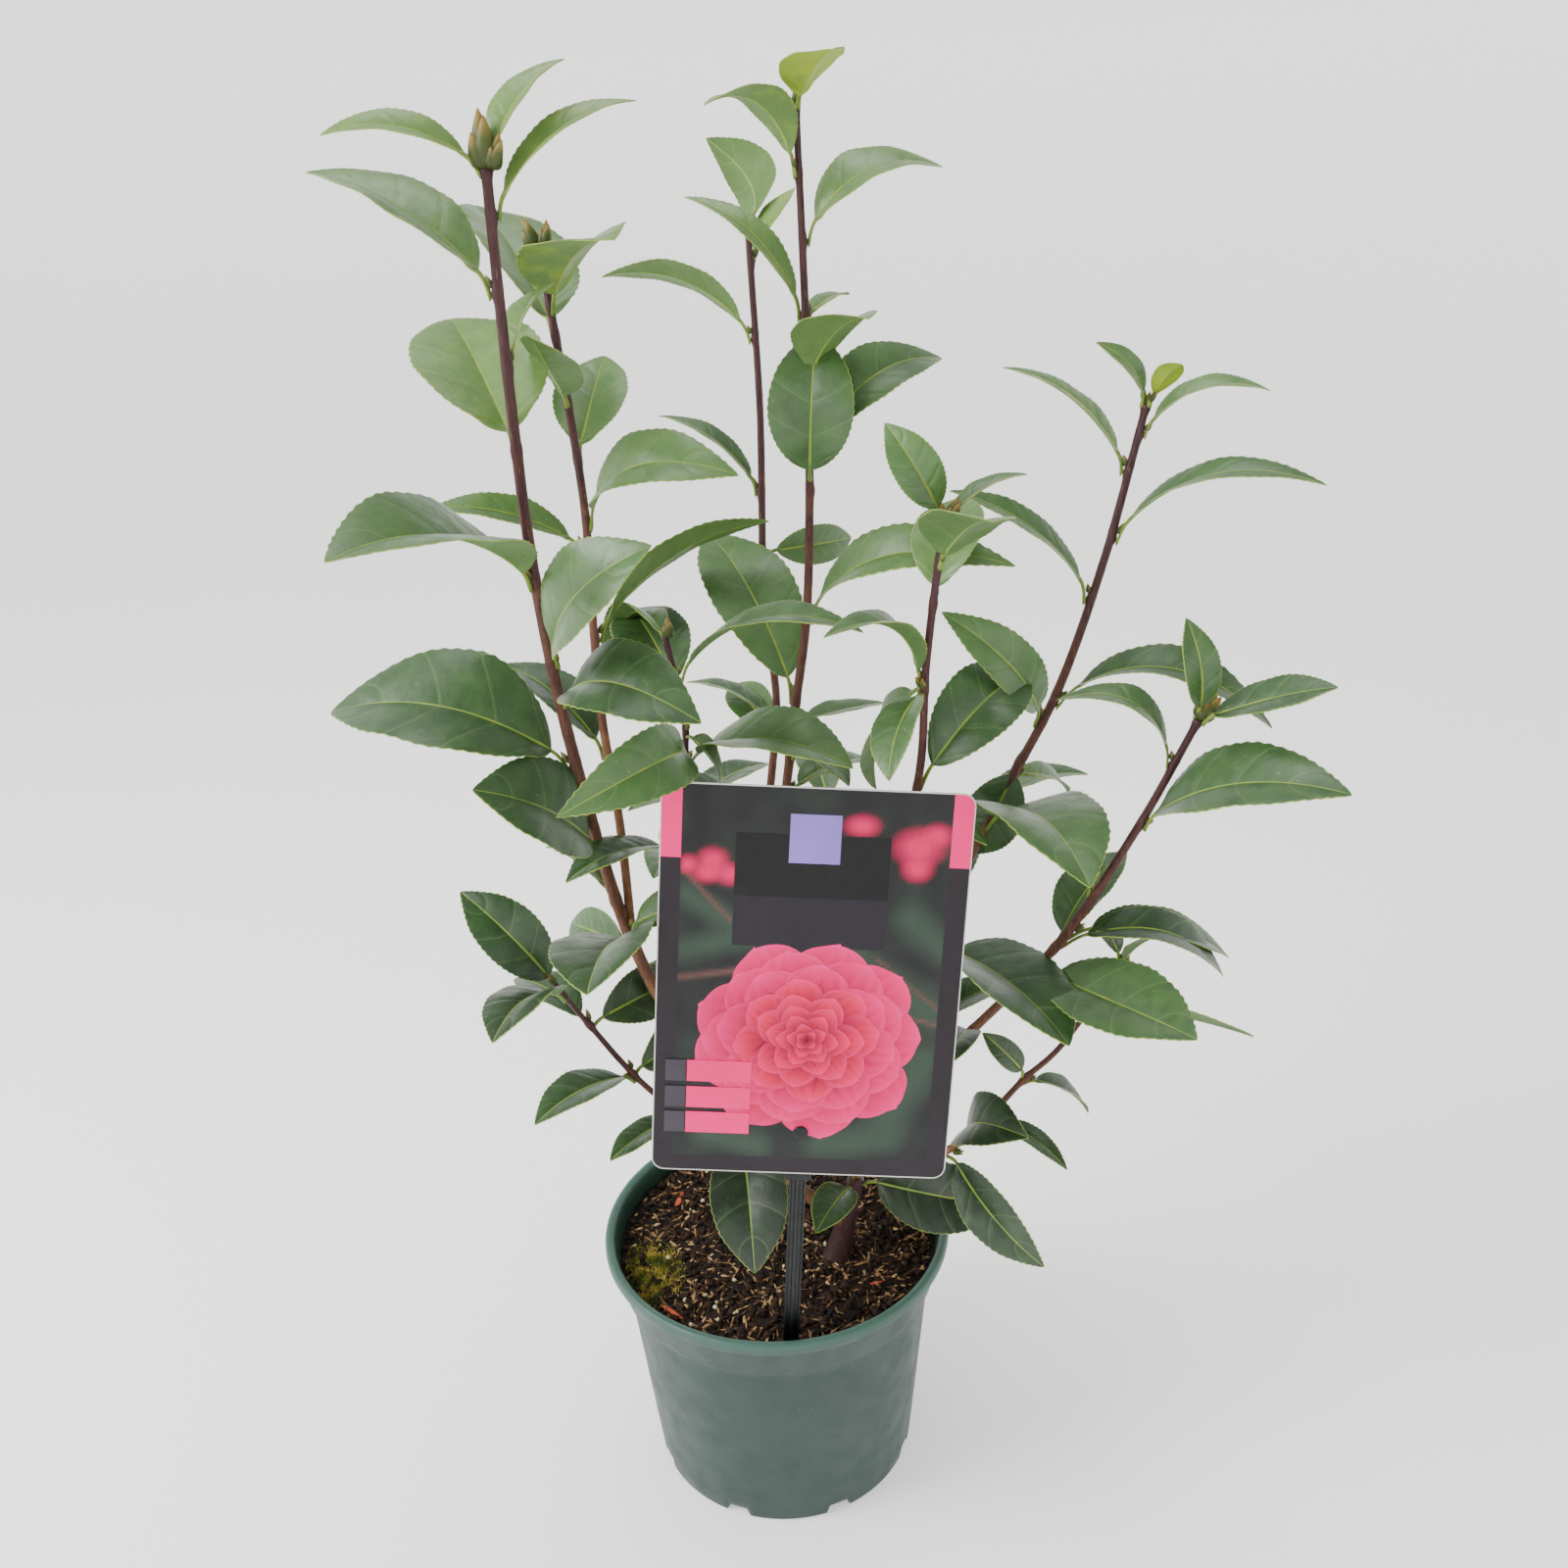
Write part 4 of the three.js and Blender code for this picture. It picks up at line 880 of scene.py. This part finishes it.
leaf_finishes = [
    leaf_side("leaf_upper_cuticle",
              [(0.0, "#8fa822"), (0.16, "#6b8b40"), (0.42, "#4d7038"), (0.72, "#325029"), (1.0, "#172812")],
              0.42, 0.55, 0.3, 0.16, "#8ca565"),
    leaf_side("leaf_underside",
              [(0.0, "#94aa2c"), (0.2, "#627f44"), (0.6, "#4d6a38"), (1.0, "#3b5430")],
              0.58, 0.3, 0.0, 0.22, "#7f9c4e"),
    plain_green("leaf_midrib", "#94a63a", "#74903a", 0.5),
    plain_green("leaf_margin", "#9aac44", "#6f8b38", 0.5),
    plain_green("leaf_stalk", "#7c9030", "#5c7628", 0.5),
]
one_leaf, one_kinds = leaf_faces()
FRESH_TIPS = ("centre_leader", "right_leader")

for name, limb in limbs.items():
    shoot = TRUNK if name == "trunk" else SHOOTS[name]
    points, faces, kinds, ages, own_map, flat_map = [], [], [], [], [], []
    for tile, row in enumerate(shoot["leaves"]):
        body = leaf_points(limb, row)
        first = sum(len(p) for p in points)
        points.append(body)
        faces += [tuple(first + k for k in f) for f in one_leaf]
        kinds += one_kinds
        height = limb.at(row[0])[2]
        age = 1.0 - 0.74 * (height - SOIL_LEVEL) / 570 + chance.uniform(-0.18, 0.14)
        fresh = name in FRESH_TIPS and row is shoot["leaves"][-1]
        age = 0.02 if fresh else min(1, max(0.14, age))
        ages.append(np.full(len(body), age))
        own, flat = leaf_maps(tile)
        own_map.append(own)
        flat_map.append(flat)
    masses = sorted(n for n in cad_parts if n.rsplit("_", 1)[0] == f"foliage_{name}")
    piece(f"leaves_{name}", np.vstack(points), faces, leaf_finishes, "leaves", masses, indices=kinds,
          values={"age": np.concatenate(ages)},
          maps={"OFBake": np.vstack(flat_map), "blade": np.vstack(own_map)})

# ---- Buds
# A plump scaly bud ends each shoot, and a small pointed one sits in most leaf axils: green at
# the foot of the scales, straw and tan at their papery tips.
chance = np.random.default_rng(23)
sockets = {"IOR": 1.45, "Roughness": 0.5, "Specular IOR Level": 0.4}
bud_scale, tree, shader, place = finish("bud_scales", sockets)
ripe = add(tree, "Attribute", attribute_name="ripe", out="Fac")
tone = add(tree, "ValToRGB", {"Fac": ripe},
           [(0.0, "#2b3716"), (0.5, "#47501f"), (0.84, "#8c7434"), (1.0, "#6a4a26")])
down = add(tree, "TexNoise", {"Vector": place, "Scale": per(0.7), "Detail": 2})
relief = add(tree, "Bump", {"Height": down, "Distance": 0.08 * MM})
wire(tree, shader, {"Base Color": tone, "Normal": relief})
BUD_SIDES = 12
BUD_STATIONS = 10


def bud(foot, axis, length, radius, scales):
    """Nested pointed shells, each turned and tipped outward a little, as overlapping scales."""
    points, faces, ripeness = [], [], []
    first = unit(np.cross(axis, (0.31, 0.77, 0.2)))
    second = np.cross(axis, first)
    for k in range(scales):
        turn = math.radians(SPIRAL_TURN * k)
        toward = first * math.cos(turn) + second * math.sin(turn)
        lean = 0.0 if k == 0 else 0.16 + 0.05 * k
        own = unit(axis + toward * lean)
        a = unit(np.cross(own, second + 0.3 * first))
        b = np.cross(own, a)
        long, wide = length * (1 - 0.13 * k), radius * (1 - 0.03 * k)
        middle = foot + toward * radius * (0.0 if k == 0 else 0.22)
        start = len(points)
        for i in range(BUD_STATIONS):
            t = i / (BUD_STATIONS - 1)
            r = wide * (math.sin(math.pi * min(1, 0.12 + 0.88 * t) ** 0.8) ** 0.8 * (1 - 0.35 * t) + 0.02)
            for s in range(BUD_SIDES):
                w = 2 * math.pi * s / BUD_SIDES
                points.append(middle + own * long * t + (a * math.cos(w) + b * math.sin(w)) * r)
                ripeness.append(0.15 + 0.85 * t ** 1.6)
        faces += grid_faces(BUD_STATIONS, BUD_SIDES, start, closed=True)
        faces.append(tuple(start + s for s in range(BUD_SIDES))[::-1])
        last = start + (BUD_STATIONS - 1) * BUD_SIDES
        faces.append(tuple(last + s for s in range(BUD_SIDES)))
    return points, faces, ripeness


# Each shoot's end buds: length, radius, the bearing that it leans to and how far it leans
TIP_BUDS = {
    "left_leader": [(21, 5.0, 110, 8), (13, 3.0, -10, 20)],
    "left_inner": [(13, 3.3, 175, 16), (11, 2.9, 0, 16)],
    "front_right": [(10, 2.7, 180, 12), (11, 2.9, 0, 16)],
    "right_outer": [(15, 4.6, 60, 12)],
    "centre_leader": [(7, 1.8, 0, 0)],
    "right_leader": [(6, 1.7, 0, 0)],
    "centre_back": [(8, 2.0, 0, 0)],
    "centre_short": [(9, 2.6, 0, 10)],
    "left_low": [(7, 1.8, 0, 0)],
    "right_low": [(6, 1.6, 0, 0)],
    "back_left": [(8, 2.0, 0, 0)],
    "back_centre": [(8, 2.0, 0, 0)],
    "back_right": [(8, 2.0, 0, 0)],
}
for name, limb in limbs.items():
    points, faces, ripeness = [], [], []
    growing = []
    for long, wide, bearing, lean in TIP_BUDS.get(name, []):
        axis = unit(limb.along(1) + heading(bearing, 0) * math.tan(math.radians(lean)))
        growing.append((limb.at(1) + heading(bearing, 0) * wide * 0.04 * lean, axis, long, wide, 5))
    for row in (TRUNK if name == "trunk" else SHOOTS[name])["leaves"]:
        foot, stem, along, side, face = leaf_frame(limb, row)
        out = along - stem * float(along @ stem)
        if np.linalg.norm(out) < 0.2 or chance.random() < 0.2:
            continue
        out = unit(out)
        place = foot + out * (limb.radius(row[0]) + 0.5) + stem * 1.6
        growing.append((place, unit(stem + out * 0.42), chance.uniform(4.2, 7), chance.uniform(1.1, 1.5), 3))
    for grown in growing:
        more, more_faces, more_ripe = bud(*grown)
        faces += [tuple(len(points) + k for k in f) for f in more_faces]
        points += more
        ripeness += more_ripe
    piece(f"buds_{name}", points, faces, [bud_scale], "leaves", values={"ripe": ripeness})

# ---- Label stick
# A moulded polystyrene stick, ribbed down its front, pushed in just inside the lip. Its head
# carries the card, and a button on a short shank goes through the card's hole.
CARD_FOOT = np.array((13.0, -80.0, 238.0))
CARD_LEAN, CARD_TILT = 7, -5
STICK_LEAN, STICK_TILT = 0.8, -4
STICK_LENGTH = 118
PEG_HEIGHT = 22


def leaned(points, lean, tilt):
    """Stands a flat layout (across, up, out) on the card's foot, tilted and leaned back."""
    turn = Matrix.Rotation(math.radians(90 - lean), 3, "X") @ Matrix.Rotation(math.radians(tilt), 3, "Z")
    return np.asarray(points, float) @ np.array(turn).T + CARD_FOOT


def drawn_out(section, stations):
    """A section of (across, out) points carried up through (height, width share) stations."""
    points = [(x * share, y, z) for y, share in stations for x, z in section]
    count = len(section)
    faces = grid_faces(len(stations), count, closed=True)
    faces.append(tuple(range(count))[::-1])
    faces.append(tuple(len(points) - count + k for k in range(count)))
    return points, faces


def joined(bodies):
    """Several (points, faces) bodies as one."""
    points, faces = [], []
    for body_points, body_faces in bodies:
        first = len(points)
        points.extend(body_points)
        faces.extend(tuple(first + k for k in f) for f in body_faces)
    return points, faces


stick_section = [(4, -2.9), (4, -0.3), (3.8, 0), (3.1, 0), (2.7, -1.2), (1.1, -1.2), (0.8, -0.4),
                 (-0.8, -0.4), (-1.1, -1.2), (-2.7, -1.2), (-3.1, 0), (-3.8, 0), (-4, -0.3), (-4, -2.9)]
head_section = [(6.4, -3.2), (6.5, -0.8), (6.1, -0.4), (-6.1, -0.4), (-6.5, -0.8), (-6.4, -3.2)]
tongue_section = [(3.8, -2.2), (4, -0.5), (-4, -0.5), (-3.8, -2.2)]
bar = drawn_out(stick_section, [(-STICK_LENGTH - 1.5, 0.25), (-STICK_LENGTH + 12, 1), (-60, 1), (-1.5, 1)])
head = drawn_out(head_section, [(-4.2, 0.97), (-3.7, 1), (-0.8, 1), (-0.4, 0.97)])
tongue = drawn_out(tongue_section, [(-3, 1), (PEG_HEIGHT, 1), (PEG_HEIGHT + 4.4, 0.8)])
button_profile = rounded([(0, -0.4, 0), (1.7, -0.4, 0), (1.7, 1.25, 0), (3.5, 1.25, 0.3),
                          (3.55, 1.7, 0.6), (2.4, 2.4, 1.0), (0, 2.5, 0)])
button_points, button_faces = turned(button_profile, 32)
button = (button_points + (0, PEG_HEIGHT, 0), button_faces)

# Slate-dark and satin, with faint flow marks along the mould
polystyrene, tree, shader, place = finish("moulded_polystyrene", {"IOR": 1.59, "Specular IOR Level": 0.3})
flow = add(tree, "Mapping", {"Vector": place, "Scale": (1, 1, 0.12)})
flow = add(tree, "TexNoise", {"Vector": flow, "Scale": per(5), "Detail": 3})
tone = add(tree, "ValToRGB", {"Fac": flow}, [(0.35, "#05070a"), (0.65, "#0a0d11")])
shine = add(tree, "TexNoise", {"Vector": place, "Scale": per(6), "Detail": 3})
rough = {"Value": shine, "From Min": 0.3, "From Max": 0.7, "To Min": 0.34, "To Max": 0.5}
rough = add(tree, "MapRange", rough)
grain = add(tree, "TexNoise", {"Vector": place, "Scale": per(1.2), "Detail": 2})
relief = add(tree, "Bump", {"Height": grain, "Distance": 0.04 * MM})
wire(tree, shader, {"Base Color": tone, "Roughness": rough, "Normal": relief})
upper_points, upper_faces = joined([head, tongue, button])
stick_points, stick_faces = joined([
    (leaned(bar[0], STICK_LEAN, STICK_TILT), bar[1]),
    (leaned(upper_points, CARD_LEAN, CARD_TILT), upper_faces),
])
piece("label_stick_moulding", stick_points, stick_faces, [polystyrene], "label_stick", ["label_stick"],
      smooth=False)

# ---- Plant card
# A card of white polypropylene sheet with rounded corners, printed and laminated: a dark frame
# with two pink tabs, a blurred garden, blank panels, and a formal pink bloom in layers.
CARD_WIDTH, CARD_HEIGHT, CARD_THICKNESS = 140, 192, 1.0
CARD_CORNER = 6
FRAME_WIDTH = 9.8
CELL = 1.6


def sheet_outline(low, high, radii, steps=7):
    """A rectangle's outline with its own corner radius at each corner, from the lower left round."""
    corners = [(low[0], low[1], 180), (high[0], low[1], 270), (high[0], high[1], 0), (low[0], high[1], 90)]
    line = []
    for (x, y, start), radius in zip(corners, radii):
        inward_x, inward_y = (1 if x == low[0] else -1), (1 if y == low[1] else -1)
        centre = (x + inward_x * radius, y + inward_y * radius)
        for a in np.linspace(start, start + 90, steps if radius else 1):
            line.append((centre[0] + radius * math.cos(math.radians(a)),
                         centre[1] + radius * math.sin(math.radians(a))))
    return line


def slab(outline, low, high, bevel=0.0):
    """A flat slab of an outline between two heights, its front edge eased by a bevel."""
    middle = np.mean(outline, axis=0)
    eased = [tuple(np.array(p) + (middle - p) / np.linalg.norm(middle - p) * bevel) for p in outline]
    rings = [(outline, low), (outline, high - bevel), (eased, high)]
    points = [(x, y, z) for ring, z in rings for x, y in ring]
    count = len(outline)
    faces = grid_faces(len(rings), count, closed=True)
    faces.append(tuple(range(count))[::-1])
    faces.append(tuple(2 * count + k for k in range(count)))
    return points, faces


def laminate(name, code, other, roughness=0.42):
    """Printed ink under clear satin laminate: an even colour, with faint rubs in the shine."""
    made, tree, shader, place = finish(name, {"IOR": 1.5, "Specular IOR Level": 0.3})
    drift = add(tree, "TexNoise", {"Vector": place, "Scale": per(30), "Detail": 2})
    tone = add(tree, "ValToRGB", {"Fac": drift}, [(0.35, other), (0.65, code)])
    rub = add(tree, "TexNoise", {"Vector": place, "Scale": per(5), "Detail": 5})
    rough = add(tree, "MapRange", {"Value": rub, "From Min": 0.35, "From Max": 0.7, "To Min": roughness,
                                   "To Max": roughness + 0.14})
    waves = add(tree, "TexNoise", {"Vector": place, "Scale": per(40), "Detail": 2})
    relief = add(tree, "Bump", {"Height": waves, "Distance": 0.15 * MM})
    wire(tree, shader, {"Base Color": tone, "Roughness": rough, "Normal": relief})
    return made


def on_card(name, body, look, nodes=(), inks=None):
    """A flat body laid out on the card, stood on the card's foot as its own piece."""
    return piece(name, leaned(body[0], CARD_LEAN, CARD_TILT), body[1], [look], "label_card", nodes,
                 smooth=False, inks=inks)


half = CARD_WIDTH / 2
sheet_white = laminate("white_polypropylene_sheet", "#d9d8d2", "#cfcdc6", 0.45)
frame_ink = laminate("plum_ink_laminate", "#221a22", "#1d161d")
INK = 0.04
BLEED = 0.6
face = CARD_THICKNESS - 0.06
core = slab(sheet_outline((-half, 0), (half, CARD_HEIGHT), [CARD_CORNER] * 4), 0, face, 0.05)
on_card("card_sheet", core, sheet_white, ["label_card"])
print_low, print_high = (BLEED - half, BLEED), (half - BLEED, CARD_HEIGHT - BLEED)
on_card("card_frame_print", slab(sheet_outline(print_low, print_high, [CARD_CORNER - BLEED] * 4), face,
                                 CARD_THICKNESS), frame_ink)

pink_ink = laminate("pink_ink_laminate", "#ff0078", "#fa0072")
TAB_HEIGHT = 35
BARS_PROUD = 0.62
tab_low, tab_high = CARD_HEIGHT - TAB_HEIGHT, CARD_HEIGHT - BLEED
bend = CARD_CORNER - BLEED
tabs = [
    slab(sheet_outline((left, tab_low), (right, tab_high), bends), CARD_THICKNESS, CARD_THICKNESS + INK)
    for left, right, bends in ((-half + BLEED, -half + FRAME_WIDTH, (0, 0, 0, bend)),
                               (half - FRAME_WIDTH, half - BLEED, (0, 0, bend, 0)))
]


def block(left, right, low, high, proud, under=0.0):
    """A plain printed rectangle, laid this far proud of the card or of the print under it."""
    return slab([(left, low), (right, low), (right, high), (left, high)], CARD_THICKNESS + under,
                CARD_THICKNESS + proud)


BAR_LEVELS = (52.5, 39.0, 26.0)
BAR_HALF = 5.4
tabs += [block(-54.5, -24.5, level - BAR_HALF, level + BAR_HALF, BARS_PROUD) for level in BAR_LEVELS]
on_card("card_pink_print", joined(tabs), pink_ink)
squares = [block(-64.5, -55.0, level - BAR_HALF, level + BAR_HALF, BARS_PROUD) for level in BAR_LEVELS]
on_card("card_grey_print", joined(squares), laminate("grey_ink_laminate", "#433c46", "#3c3640"))
black_ink = laminate("black_ink_laminate", "#0d0b0e", "#0b090b")
on_card("card_upper_panel", block(-36, 33.5, 140, 170, 0.1), black_ink)
slate_ink = laminate("slate_ink_laminate", "#201a24", "#1c1720")
on_card("card_lower_panel", block(-36, 33.5, 116, 140, 0.1), slate_ink)
on_card("card_lilac_panel", block(-12, 11, 156.5, 179.5, 0.16, 0.1),
        laminate("lilac_ink_laminate", "#8f78cc", "#866fc4"))


def blend(base, over, share):
    return base + (np.array(srgb(over)[:3]) - base) * min(1.0, max(0.0, share))


def streak_share(x, y, start, end, width):
    """1 on a line between two spots, fading to 0 this far from it."""
    a, b = np.array(start, float), np.array(end, float)
    t = min(1, max(0, float(((x, y) - a) @ (b - a) / ((b - a) @ (b - a)))))
    return 1 - np.linalg.norm((x, y) - (a + (b - a) * t)) / width


# The blurred garden: dark leaves and twigs, and soft pink blooms out of focus
DARK_LEAVES = [((20, 108), (60, 84), 15), ((-60, 112), (-25, 122), 9), ((40, 30), (56, 62), 14),
               ((-58, 140), (-38, 128), 9), ((45, 132), (60, 118), 12), ((-20, 96), (20, 112), 8),
               ((-45, 20), (-20, 14), 10), ((10, 16), (40, 20), 12)]
TWIGS = [((-60, 152), (-37, 128), 1.5), ((-60, 99), (-30, 104), 2.4), ((30, 112), (60, 88), 1.2),
         ((-30, 104), (-8, 96), 2.0), ((44, 84), (60, 80), 1.4)]
SOFT_BLOOMS = [((46, 166), 13, 10), ((54, 172), 8, 6), ((-46, 156), 8, 7), ((-38, 150), 7, 6),
               ((-57, 154), 5, 5), ((20, 175), 9, 6), ((46, 156), 8, 7), ((-48, 150), 8, 5)]
garden_low, garden_high = (-half + FRAME_WIDTH, 8.5), (half - FRAME_WIDTH, CARD_HEIGHT - 1.2)
columns = int((garden_high[0] - garden_low[0]) / CELL)
rows = int((garden_high[1] - garden_low[1]) / CELL)
garden_points, garden_colours = [], []
for y in np.linspace(garden_low[1], garden_high[1], rows):
    for x in np.linspace(garden_low[0], garden_high[0], columns):
        colour = np.array(srgb("#1a151a")[:3])
        colour = blend(colour, "#222c25", 0.5 + 0.9 * noise.noise((x / 24, y / 15, 1)))
        colour = blend(colour, "#120f13", 0.3 + 0.9 * noise.noise((x / 15, y / 22, 6)))
        for start, end, width in DARK_LEAVES:
            colour = blend(colour, "#2f4034", 1.2 * streak_share(x, y, start, end, width))
        for start, end, width in TWIGS:
            colour = blend(colour, "#5e4038", 1.1 * streak_share(x, y, start, end, width))
        for spot, wide, tall in SOFT_BLOOMS:
            away = math.hypot((x - spot[0]) / wide, (y - spot[1]) / tall)
            colour = blend(colour, "#e00058", 1.25 * (1.1 - away))
        garden_points.append((x, y, CARD_THICKNESS + 0.05))
        garden_colours.append((*colour, 1))
garden_ink, tree, shader, place = finish("garden_print_laminate", {"IOR": 1.5, "Specular IOR Level": 0.3})
inks = add(tree, "Attribute", attribute_name="ink", out="Color")
dots = add(tree, "TexNoise", {"Vector": place, "Scale": per(1.5), "Detail": 2})
dots = {"Value": dots, "From Min": 0.3, "From Max": 0.7, "To Min": 0.92, "To Max": 1.06}
dots = add(tree, "MapRange", dots)
tone = add(tree, "MixRGB", {"Fac": 1.0, "Color1": inks, "Color2": dots}, blend_type="MULTIPLY")
rub = add(tree, "TexNoise", {"Vector": place, "Scale": per(5), "Detail": 5})
rough = {"Value": rub, "From Min": 0.35, "From Max": 0.7, "To Min": 0.3, "To Max": 0.44}
rough = add(tree, "MapRange", rough)
wire(tree, shader, {"Base Color": tone, "Roughness": rough})
garden_faces = grid_faces(rows, columns)
count = len(garden_points)
garden_points += [(x, y, CARD_THICKNESS) for x, y, z in garden_points]
border = [k for k in range(columns)] + [r * columns + columns - 1 for r in range(1, rows)]
border += [(rows - 1) * columns + k for k in range(columns - 2, -1, -1)]
border += [r * columns for r in range(rows - 2, 0, -1)]
garden_faces += [tuple(count + k for k in face[::-1]) for face in garden_faces]
garden_faces += [(a, count + a, count + b, b) for a, b in zip(border, border[1:] + border[:1])]
on_card("card_garden_print", (garden_points, garden_faces), garden_ink, inks=garden_colours * 2)

BLOOM_SPOT = (0.5, 70)
BLOOM_SQUASH = 0.93
PETAL_WHORLS = [
    # reach, petals, length, width, pointedness
    (54.5, 9, 28, 19.5, 0.0), (48, 9, 26, 17.5, 0.0), (41, 8, 23, 16, 0.0), (33.5, 8, 20, 13, 0.2),
    (26.5, 7, 17, 10.5, 0.6), (20, 6, 14, 8.6, 1.0), (14.5, 6, 11, 6.4, 1.0), (9.5, 5, 8, 4.6, 1.0),
    (5.4, 4, 5, 3, 1.0),
]
PETAL_ROWS, PETAL_COLUMNS = 13, 11
chance = np.random.default_rng(31)
bloom_points, bloom_faces, bloom_colours = [], [], []
for ring, (reach, petals, long, wide, point) in enumerate(PETAL_WHORLS):
    for k in range(petals):
        turn = 2 * math.pi * (k + 0.5 * (ring % 2) + 0.12 * chance.uniform(-1, 1)) / petals + 0.7 * ring
        out = reach * (1 + 0.035 * chance.uniform(-1, 1))
        level = CARD_THICKNESS + 0.08 + 0.032 * ring + 0.004 * (k % 3)
        first = len(bloom_points)
        frill = chance.uniform(0, 6.28)
        for i in range(PETAL_ROWS):
            t = math.sin(math.pi / 2 * i / (PETAL_ROWS - 1))
            for j in range(PETAL_COLUMNS):
                s = 2 * j / (PETAL_COLUMNS - 1) - 1
                round_end = math.sqrt(max(0, 1 - t ** 3.4)) * min(1, 0.35 + t ** 0.7)
                sharp_end = (1 - t ** 2.6) ** 0.8 * min(1, 0.45 + t ** 0.6)
                across = wide * s * (round_end * (1 - point) + sharp_end * point)
                away = out - long * (1 - t) - 0.04 * long * (1 - point) * s * s * t
                away += (0.5 * math.sin(5 * s + frill) + 0.25 * math.sin(11 * s)) * t * (1 - point)
                x = away * math.cos(turn) - across * math.sin(turn)
                y = away * math.sin(turn) + across * math.cos(turn)
                rise = 0.05 * (s * s + t * t) * (1 if ring else 0.5)
                bloom_points.append((BLOOM_SPOT[0] + x, BLOOM_SPOT[1] + y * BLOOM_SQUASH, level + rise))
                colour = np.array(srgb("#74002a")[:3])
                colour = blend(colour, "#e2003c", 1.3 * t)
                colour = blend(colour, "#ee0080", (0.8 if ring < 3 else 0.2) * (t - 0.2))
                colour = blend(colour, "#ff3088", 0.6 * max(abs(s) ** 4, t ** 6) * t)
                colour = blend(colour, "#86002a", 0.7 * (1 - t) * math.cos(7 * s + frill) ** 2)
                bloom_colours.append((*colour, 1))
        bloom_faces += [quad[::-1] for quad in grid_faces(PETAL_ROWS, PETAL_COLUMNS, first)]
petal_ink, tree, shader, place = finish("petal_print_laminate", {"IOR": 1.5, "Specular IOR Level": 0.25})
rub = add(tree, "TexNoise", {"Vector": place, "Scale": per(5), "Detail": 5})
rough = {"Value": rub, "From Min": 0.35, "From Max": 0.7, "To Min": 0.32, "To Max": 0.46}
rough = add(tree, "MapRange", rough)
inks = add(tree, "Attribute", attribute_name="ink", out="Color")
wire(tree, shader, {"Base Color": inks, "Roughness": rough})
on_card("card_bloom_print", (bloom_points, bloom_faces), petal_ink, inks=bloom_colours)

# ---- Studio
# A pale floor that sweeps up into a round wall, a bright even sky, and two broad soft lights,
# one from the upper left and a weaker one overhead.
WALL_HEIGHT = 2600
floor_profile = [(0, 0), (2200, 0), (2700, 60), (3100, 260), (3400, 620), (3500, WALL_HEIGHT),
                 (3510, WALL_HEIGHT), (3510, -20), (0, -20)]
floor_profile = [(r, z, 300 if 0 < z < WALL_HEIGHT else 0) for r, z in floor_profile]
floor_points, floor_faces = turned(rounded(floor_profile), 96)
floor_mesh = bpy.data.meshes.new("studio_floor")
floor_mesh.from_pydata((np.array(floor_points) * MM).tolist(), [], floor_faces)
floor_mesh.polygons.foreach_set("use_smooth", np.ones(len(floor_mesh.polygons), bool))
floor_mesh.materials.append(finish("white_paper_sweep", {
    "Base Color": srgb("#f7f7f5"), "Roughness": 0.9,
    "Emission Color": srgb("#ffffff"), "Emission Strength": 0.55,
})[0])
floor = bpy.data.objects.new("studio_floor", floor_mesh)
bpy.context.scene.collection.objects.link(floor)

SKY_STRENGTH = 0.55
world = bpy.data.worlds.new("bright_sky")
world.use_nodes = True
sky = world.node_tree.nodes["Background"]
wire(world.node_tree, sky, {"Color": srgb("#fdfdff"), "Strength": SKY_STRENGTH})
bpy.context.scene.world = world

LIGHTS = [
    # name, place, size, watts, aim
    ("left_softbox", (-1.5, -0.5, 1.5), 1.1, 44, (0, 0, 0.35)),
    ("overhead_softbox", (-0.1, 0.3, 2.1), 1.2, 16, (0, 0, 0.4)),
]
for name, place, size, watts, aim in LIGHTS:
    lamp = bpy.data.lights.new(name, "AREA")
    lamp.shape, lamp.size, lamp.energy = "DISK", size, watts
    made = bpy.data.objects.new(name, lamp)
    bpy.context.scene.collection.objects.link(made)
    made.location = place
    made.rotation_euler = (Vector(aim) - Vector(place)).to_track_quat("-Z", "Y").to_euler()
